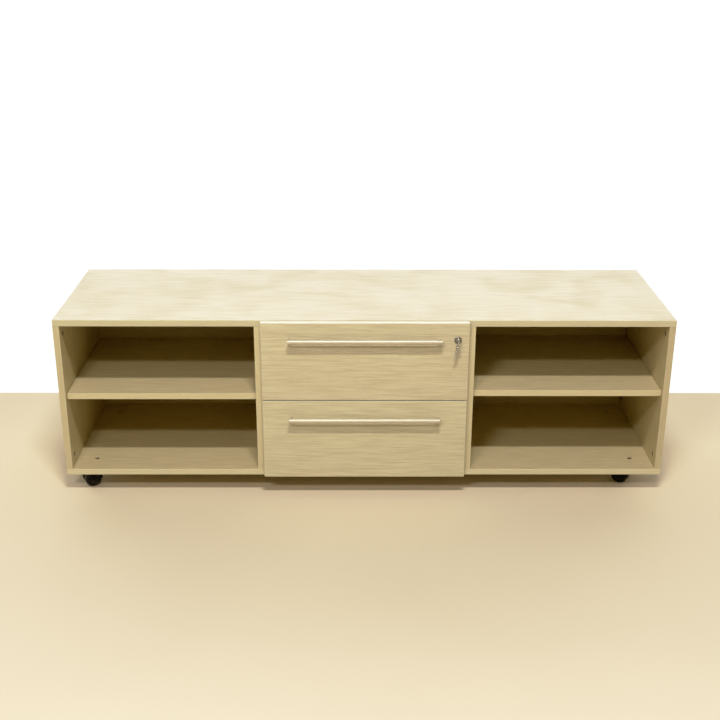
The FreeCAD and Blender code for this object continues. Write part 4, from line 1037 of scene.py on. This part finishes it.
class SIDEBOARD_OT_fittings(Operator):
    """Cams, bolts, dowels, shelf pins and screws"""

    bl_idname = "sideboard.fittings"
    bl_label = "Fittings"

    def execute(self, context):
        metal = context.scene.sideboard.metal
        cast = drawn_metal("cam_zinc", metal.cast, 0.42, (420.0, 420.0, 420.0), 0.2, 0.12)
        steel = drawn_metal("fastener_zinc", metal.zinc, 0.34, (260.0, 260.0, 900.0), 0.16)
        beech = dowel_timber("dowel_beech", (0.55, 0.38, 0.22), (0.40, 0.25, 0.13))
        paint("dowels", beech)
        paint("cam_bolts", steel)
        paint("shelf_pins", steel)

        walls = ("left_side_panel", "right_side_panel", "left_divider", "right_divider")
        uprights = [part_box(wall) for wall in walls]
        spots = []
        for _, low, high, middle in islands("cam_locks"):
            wall = min(uprights, key=lambda box: abs((box[0].x + box[1].x) / 2 - middle.x))
            sign = 1 if abs(high.x - wall[1].x) < abs(low.x - wall[0].x) else -1
            spots.append((Vector((high.x if sign > 0 else low.x, middle.y, middle.z)), Vector((sign, 0, 0))))
        radius, face, foot = 0.0075, -0.0001, -0.0124
        mesh = bmesh.new()
        lathe(mesh, [
            (0, face, 0), (radius - 0.0011, face, 0), (radius - 0.0009, -0.0005, 0),
            (radius - 0.0006, face, 0), (radius, face, 0.0003), (radius, foot, 0), (0, foot, 0),
        ], (0, 0, 0), (0, 0, 1), 40, steps=2)
        cam = carved(mesh, cross_cutter(0.0036, 0.0007, 0.0016))
        fasteners("corner_cams", [cam], [spots], "cabinet", cast, "cam_locks", 0.5)

        for node, body in (
            ("cabinet_screws", "cabinet"), ("caster_screws", "cabinet"),
            ("upper_drawer_screws", "upper_drawer"), ("lower_drawer_screws", "lower_drawer"),
        ):
            kinds = {}
            for top, heading, head, reach in screw_places(node):
                kinds.setdefault((round(head, 4), round(reach, 4)), []).append((top, heading))
            shapes = [cross_head_screw(head, reach) for head, reach in kinds]
            fasteners(f"{node}_driven", shapes, list(kinds.values()), body, steel, node)
        return {"FINISHED"}


def caster_frame(name):
    """The matrix from a caster's own frame to the cabinet: X towards the axle, Y along it, Z up."""
    swivel = Vector(JOINTS[f"{name}_swivel"]["pos_m"])
    axle = Vector(JOINTS[f"{name}_wheel_a_roll"]["pos_m"])
    turn = math.atan2(axle.y - swivel.y, axle.x - swivel.x)
    trail = math.hypot(axle.y - swivel.y, axle.x - swivel.x)
    return Matrix.Translation((swivel.x, swivel.y, 0)) @ Matrix.Rotation(turn, 4, "Z"), trail, axle.z


def hood_shell(mesh, trail, rise, crown):
    """The curved cover over both wheels, crowned across and with soft rims."""
    inner, outer, half, soft = 0.0265, 0.029, 0.0235, 0.0006
    flat, rim_drop, count = 0.86, 0.00045, 14
    steps, start, sweep = 44, 55, 132
    tapers = {0: 0.45, 1: 0.85, steps - 2: 0.85, steps - 1: 0.45, steps: 0.45}
    section = [(inner, -half + soft), (inner + soft, -half)]
    for step in range(count + 1):
        across = -1 + 2 * step / count
        fall = rim_drop * max(0.0, (abs(across) - flat) / (1 - flat)) ** 2
        section.append((outer - crown * across * across - fall, across * half))
    section += [(inner + soft, half), (inner, half - soft)]
    rings = []
    for step, (x, z) in enumerate(arc(1, start, sweep, steps)):
        ring = []
        for radius, across in section:
            reach = inner + (radius - inner) * tapers.get(step, 1.0)
            ring.append(mesh.verts.new((trail + reach * x, across, rise + reach * z)))
        rings.append(ring)
    bridge(mesh, rings)
    mesh.faces.new(rings[0])
    mesh.faces.new(rings[-1])


class SIDEBOARD_OT_casters(Operator):
    """Twin-wheel casters: plates, kingpins, hoods, axles and wheels"""

    bl_idname = "sideboard.casters"
    bl_label = "Casters"

    def execute(self, context):
        looks = context.scene.sideboard.caster
        metal = context.scene.sideboard.metal
        hood_black = black_plastic("caster_hood_black", looks, 1500.0, 0.5)
        wheel_black = black_plastic("caster_wheel_black", looks, 900.0, 0.9)
        steel = drawn_metal("caster_steel", metal.zinc, 0.33, (300.0, 300.0, 300.0), 0.18)
        pin_black = drawn_metal("caster_pin_black", metal.black, 0.50, (300.0, 300.0, 300.0), 0.18)
        paint("caster_plates", steel)
        paint("caster_kingpins", steel)
        for name in CASTERS:
            place, trail, rise = caster_frame(name)
            self.hood(name, place, trail, rise, looks, hood_black)
            self.axle(name, place, trail, rise, pin_black)
            for wheel in "ab":
                self.wheel(name, wheel, place, trail, rise, looks, wheel_black)
        return {"FINISHED"}

    def hood(self, name, place, trail, rise, looks, material):
        mesh = bmesh.new()
        hood_shell(mesh, trail, rise, looks.hood_crown)
        lathe(mesh, [
            (0.0045, 0.0345, 0.0003), (0.0085, 0.0345, 0.001), (0.0088, 0.0535, 0.0005),
            (0.009, 0.0536, 0), (0.009, 0.0588, 0.0006), (0.0045, 0.0588, 0.0002),
        ], (0, 0, 0), (0, 0, 1), 40, closed=True)
        half, hub = 0.0058, 0.0075
        corners = [(AXLE_BORE, -half, 0), (hub, -half, 0.0006), (hub, half, 0.0006), (AXLE_BORE, half, 0)]
        lathe(mesh, corners, (trail, 0, rise), (0, 1, 0), 40, closed=True)
        web = []
        for side in (-half, half):
            spots = [(0, 0), *arc(0.0276, 56, 130, 40)]
            web.append([mesh.verts.new((trail + x, side, rise + z)) for x, z in spots])
            mesh.faces.new(web[-1])
        bridge(mesh, web)
        mesh.transform(place)
        body = f"{name}_caster"
        finish(f"{name}_caster_cover", mesh, body, material, f"{name}_caster_hood", 40)

    def axle(self, name, place, trail, rise, material):
        end, cap = 0.0239, 0.0012
        corners = [(0, 0, 0), (0.0035, 0, 0.0006), (0.0045, 0.0006, 0.0004), (0.0045, cap, 0)]
        corners.append((0.003, cap, 0))
        mesh = bmesh.new()
        lathe(mesh, both_ends(corners, 2 * end), (trail, -end, rise), (0, 1, 0), 40)
        mesh.transform(place)
        body = f"{name}_caster"
        finish(f"{name}_caster_pin", mesh, body, material, f"{name}_caster_axle")

    def wheel(self, name, wheel, place, trail, rise, looks, material):
        node = f"{name}_caster_wheel_{wheel}"
        low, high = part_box(node)
        middle = place.inverted() @ ((low + high) / 2)
        side = 1 if middle.y > 0 else -1
        mesh = bmesh.new()
        lathe(mesh, [
            (AXLE_BORE, 0.0065, 0.0002), (0.0232, 0.0065, 0.0010), (0.0250, 0.0090, 0.0018),
            (0.0250, 0.0206, 0.0022), (0.0226, 0.0235, 0.0012), (0.0200, 0.0235, 0.0005),
            (0.0196, 0.0225, 0.0004), (0.0190, 0.0195, 0.0008), (0.0088, 0.0195, 0.0008),
            (0.0080, 0.0225, 0.0004), (AXLE_BORE, 0.0225, 0.0002),
        ], (0, 0, 0), (0, 0, 1), 72, steps=4, closed=True)
        rib = bmesh.new()
        block(rib, (0.0078, -0.0006, 0.0190), (0.0194, 0.0006, 0.0218))
        rib = modified(
            rib, "BEVEL", width=0.0003, segments=2, limit_method="ANGLE", angle_limit=math.radians(35)
        )
        pattern = as_object("rib", rib)
        values = {"Template": pattern, "Count": looks.spokes, "Material": material}
        ribs = grown("spokes", bpy.data.meshes.new("empty"), values)
        drop(pattern)
        mesh.from_mesh(ribs)
        bpy.data.meshes.remove(ribs)
        stand = quarter("X", -side)
        mesh.transform(place @ Matrix.Translation((trail, 0, rise)) @ stand)
        finish(f"{node}_tyre", mesh, node, material, node, 40)


# Light in and light out, where the film's curve leaves the straight line
FILM_CURVE = (
    (0.012, 0.004), (0.030, 0.0215), (0.060, 0.054), (0.120, 0.120), (0.337, 0.370), (0.490, 0.600),
    (0.660, 0.810), (0.850, 0.960),
)


class SIDEBOARD_OT_stage(Operator):
    """Floor, light and camera"""

    bl_idname = "sideboard.stage"
    bl_label = "Stage"

    def execute(self, context):
        looks = context.scene.sideboard.stage
        self.camera(context)
        self.floor(looks)
        self.sky(context, looks)
        self.lamps(looks)
        return {"FINISHED"}

    def camera(self, context):
        pitch, yaw, roll = 0.3766, 0.0086, -0.0038
        ahead = Vector((math.sin(yaw) * math.cos(pitch), math.cos(yaw) * math.cos(pitch), -math.sin(pitch)))
        level = Vector((math.cos(yaw), -math.sin(yaw), 0))
        down = ahead.cross(level)
        down = down if down.z < 0 else -down
        right = level * math.cos(roll) + down * math.sin(roll)
        down = down * math.cos(roll) - level * math.sin(roll)
        data = bpy.data.cameras.new("camera")
        data.sensor_width = 36
        data.lens = 56.635
        camera = bpy.data.objects.new("camera", data)
        turn = Matrix((right, -down, -ahead)).transposed()
        camera.matrix_world = Matrix.Translation((-0.0404, -3.2964, 1.6501)) @ turn.to_4x4()
        context.scene.collection.objects.link(camera)
        context.scene.camera = camera
        self.film(context.scene.view_settings)

    def film(self, settings):
        """The contrast of a camera: deeper shadows and brighter lights."""
        settings.view_transform = "Standard"
        settings.use_curve_mapping = True
        mapping = settings.curve_mapping
        for point in FILM_CURVE:
            mapping.curves[3].points.new(*point)
        mapping.update()

    def floor(self, looks):
        material, tree, shader, place = new_material("pale_floor")
        depth = separated(tree, place)[1]
        behind = spread(tree, depth, looks.wall_line - 0.004, looks.wall_line + 0.004)
        drift = spread(tree, noise(tree, place, 1.3, 2.0), 0.35, 0.65)
        tone = mix_colour(tree, product(tree, drift, 0.5), looks.floor, scaled(looks.floor, 0.95))
        feed(tree, shader["Base Color"], mix_colour(tree, behind, tone, (0.0, 0.0, 0.0)))
        seen = add(tree, "ShaderNodeLightPath").outputs["Is Camera Ray"]
        glow = product(tree, behind, seen)
        feed(tree, shader["Emission Color"], mix_colour(tree, glow, (0.0, 0.0, 0.0), (1.0, 1.0, 1.0)))
        shader["Emission Strength"].default_value = 1.0
        shader["Roughness"].default_value = 0.9
        shader["Specular IOR Level"].default_value = 0.05
        mesh = bpy.data.meshes.new("floor")
        reach = 9.0
        corners = [(x * reach, y * reach, 0) for x, y in ((-1, -1), (1, -1), (1, 1), (-1, 1))]
        mesh.from_pydata(corners, [], [(0, 1, 2, 3)])
        mesh.materials.append(material)
        as_object("floor", mesh)

    def sky(self, context, looks):
        world = bpy.data.worlds.new("studio")
        context.scene.world = world
        world.use_nodes = True
        tree = world.node_tree
        tree.nodes.clear()
        way = separated(tree, add(tree, "ShaderNodeTexCoord").outputs["Generated"])
        above = spread(tree, way[2], 0.10, 0.85)
        level = product(tree, spread(tree, way[2], 0.12, 0.24), spread(tree, way[2], 0.38, 0.66, 1.0, 0.0))
        wall = product(tree, spread(tree, way[1], 0.30, 0.75), level)
        glow = maths(tree, "MULTIPLY_ADD", above, looks.high_sky - looks.front_sky, looks.front_sky)
        glow = product(tree, glow, spread(tree, way[2], 0.0, 0.16, 0.35, 1.0))
        lift = maths(tree, "SUBTRACT", looks.wall_sky, glow)
        strength = maths(tree, "MULTIPLY_ADD", wall, lift, glow)
        cool = maths(tree, "MAXIMUM", above, wall)
        lit = add(tree, "ShaderNodeBackground", {
            "Color": mix_colour(tree, cool, (1.0, 0.82, 0.47), (1.0, 0.99, 0.97)), "Strength": strength,
        })
        seen = add(tree, "ShaderNodeLightPath").outputs["Is Camera Ray"]
        shown = add(tree, "ShaderNodeBackground", {"Color": (1.0, 1.0, 1.0, 1.0), "Strength": 1.0})
        mixed = add(tree, "ShaderNodeMixShader", {0: seen, 1: lit.outputs[0], 2: shown.outputs[0]})
        add(tree, "ShaderNodeOutputWorld", {0: mixed.outputs[0]})

    def lamps(self, looks):
        lamps = {
            "high_lamp": ((0.15, -2.35, 3.92), looks.high_lamp, (1.0, 0.97, 0.92)),
            "low_lamp": ((-1.10, -3.35, 3.00), looks.low_lamp, (1.0, 0.95, 0.88)),
        }
        for name, (place, power, tint) in lamps.items():
            data = bpy.data.lights.new(name, "AREA")
            data.shape = "RECTANGLE"
            data.size, data.size_y = 0.8, 0.16
            data.energy = power
            data.color = tint
            lamp = bpy.data.objects.new(name, data)
            lamp.location = place
            lamp.rotation_euler = (lamp.location - Vector((0, -0.2, 0.3))).to_track_quat("Z", "Y").to_euler()
            bpy.context.scene.collection.objects.link(lamp)


OPERATORS = (
    SIDEBOARD_OT_boards,
    SIDEBOARD_OT_drawer_boxes,
    SIDEBOARD_OT_handles,
    SIDEBOARD_OT_lock,
    SIDEBOARD_OT_keys,
    SIDEBOARD_OT_runners,
    SIDEBOARD_OT_fittings,
    SIDEBOARD_OT_casters,
    SIDEBOARD_OT_stage,
)


class SIDEBOARD_PT_pieces(Panel):
    """The pieces of the sideboard and the stage"""

    bl_idname = "SIDEBOARD_PT_pieces"
    bl_label = "Sideboard"
    bl_space_type = "VIEW_3D"
    bl_region_type = "UI"
    bl_category = "Sideboard"

    def draw(self, context):
        for operator in OPERATORS:
            self.layout.operator(operator.bl_idname)


SETTINGS = (LaminateSettings, MetalSettings, CasterSettings, KeySettings, StageSettings, SideboardSettings)
CLASSES = (*SETTINGS, *OPERATORS, SIDEBOARD_PT_pieces)


def register():
    """Register the classes and the scene's settings."""
    for made in CLASSES:
        bpy.utils.register_class(made)
    bpy.types.Scene.sideboard = PointerProperty(type=SideboardSettings)


def unregister():
    """Undo register."""
    del bpy.types.Scene.sideboard
    for made in reversed(CLASSES):
        bpy.utils.unregister_class(made)


def main():
    """Build every piece and the stage."""
    register()
    for operator in OPERATORS:
        group, name = operator.bl_idname.split(".")
        getattr(getattr(bpy.ops, group), name)()


if __name__ == "__main__":
    main()
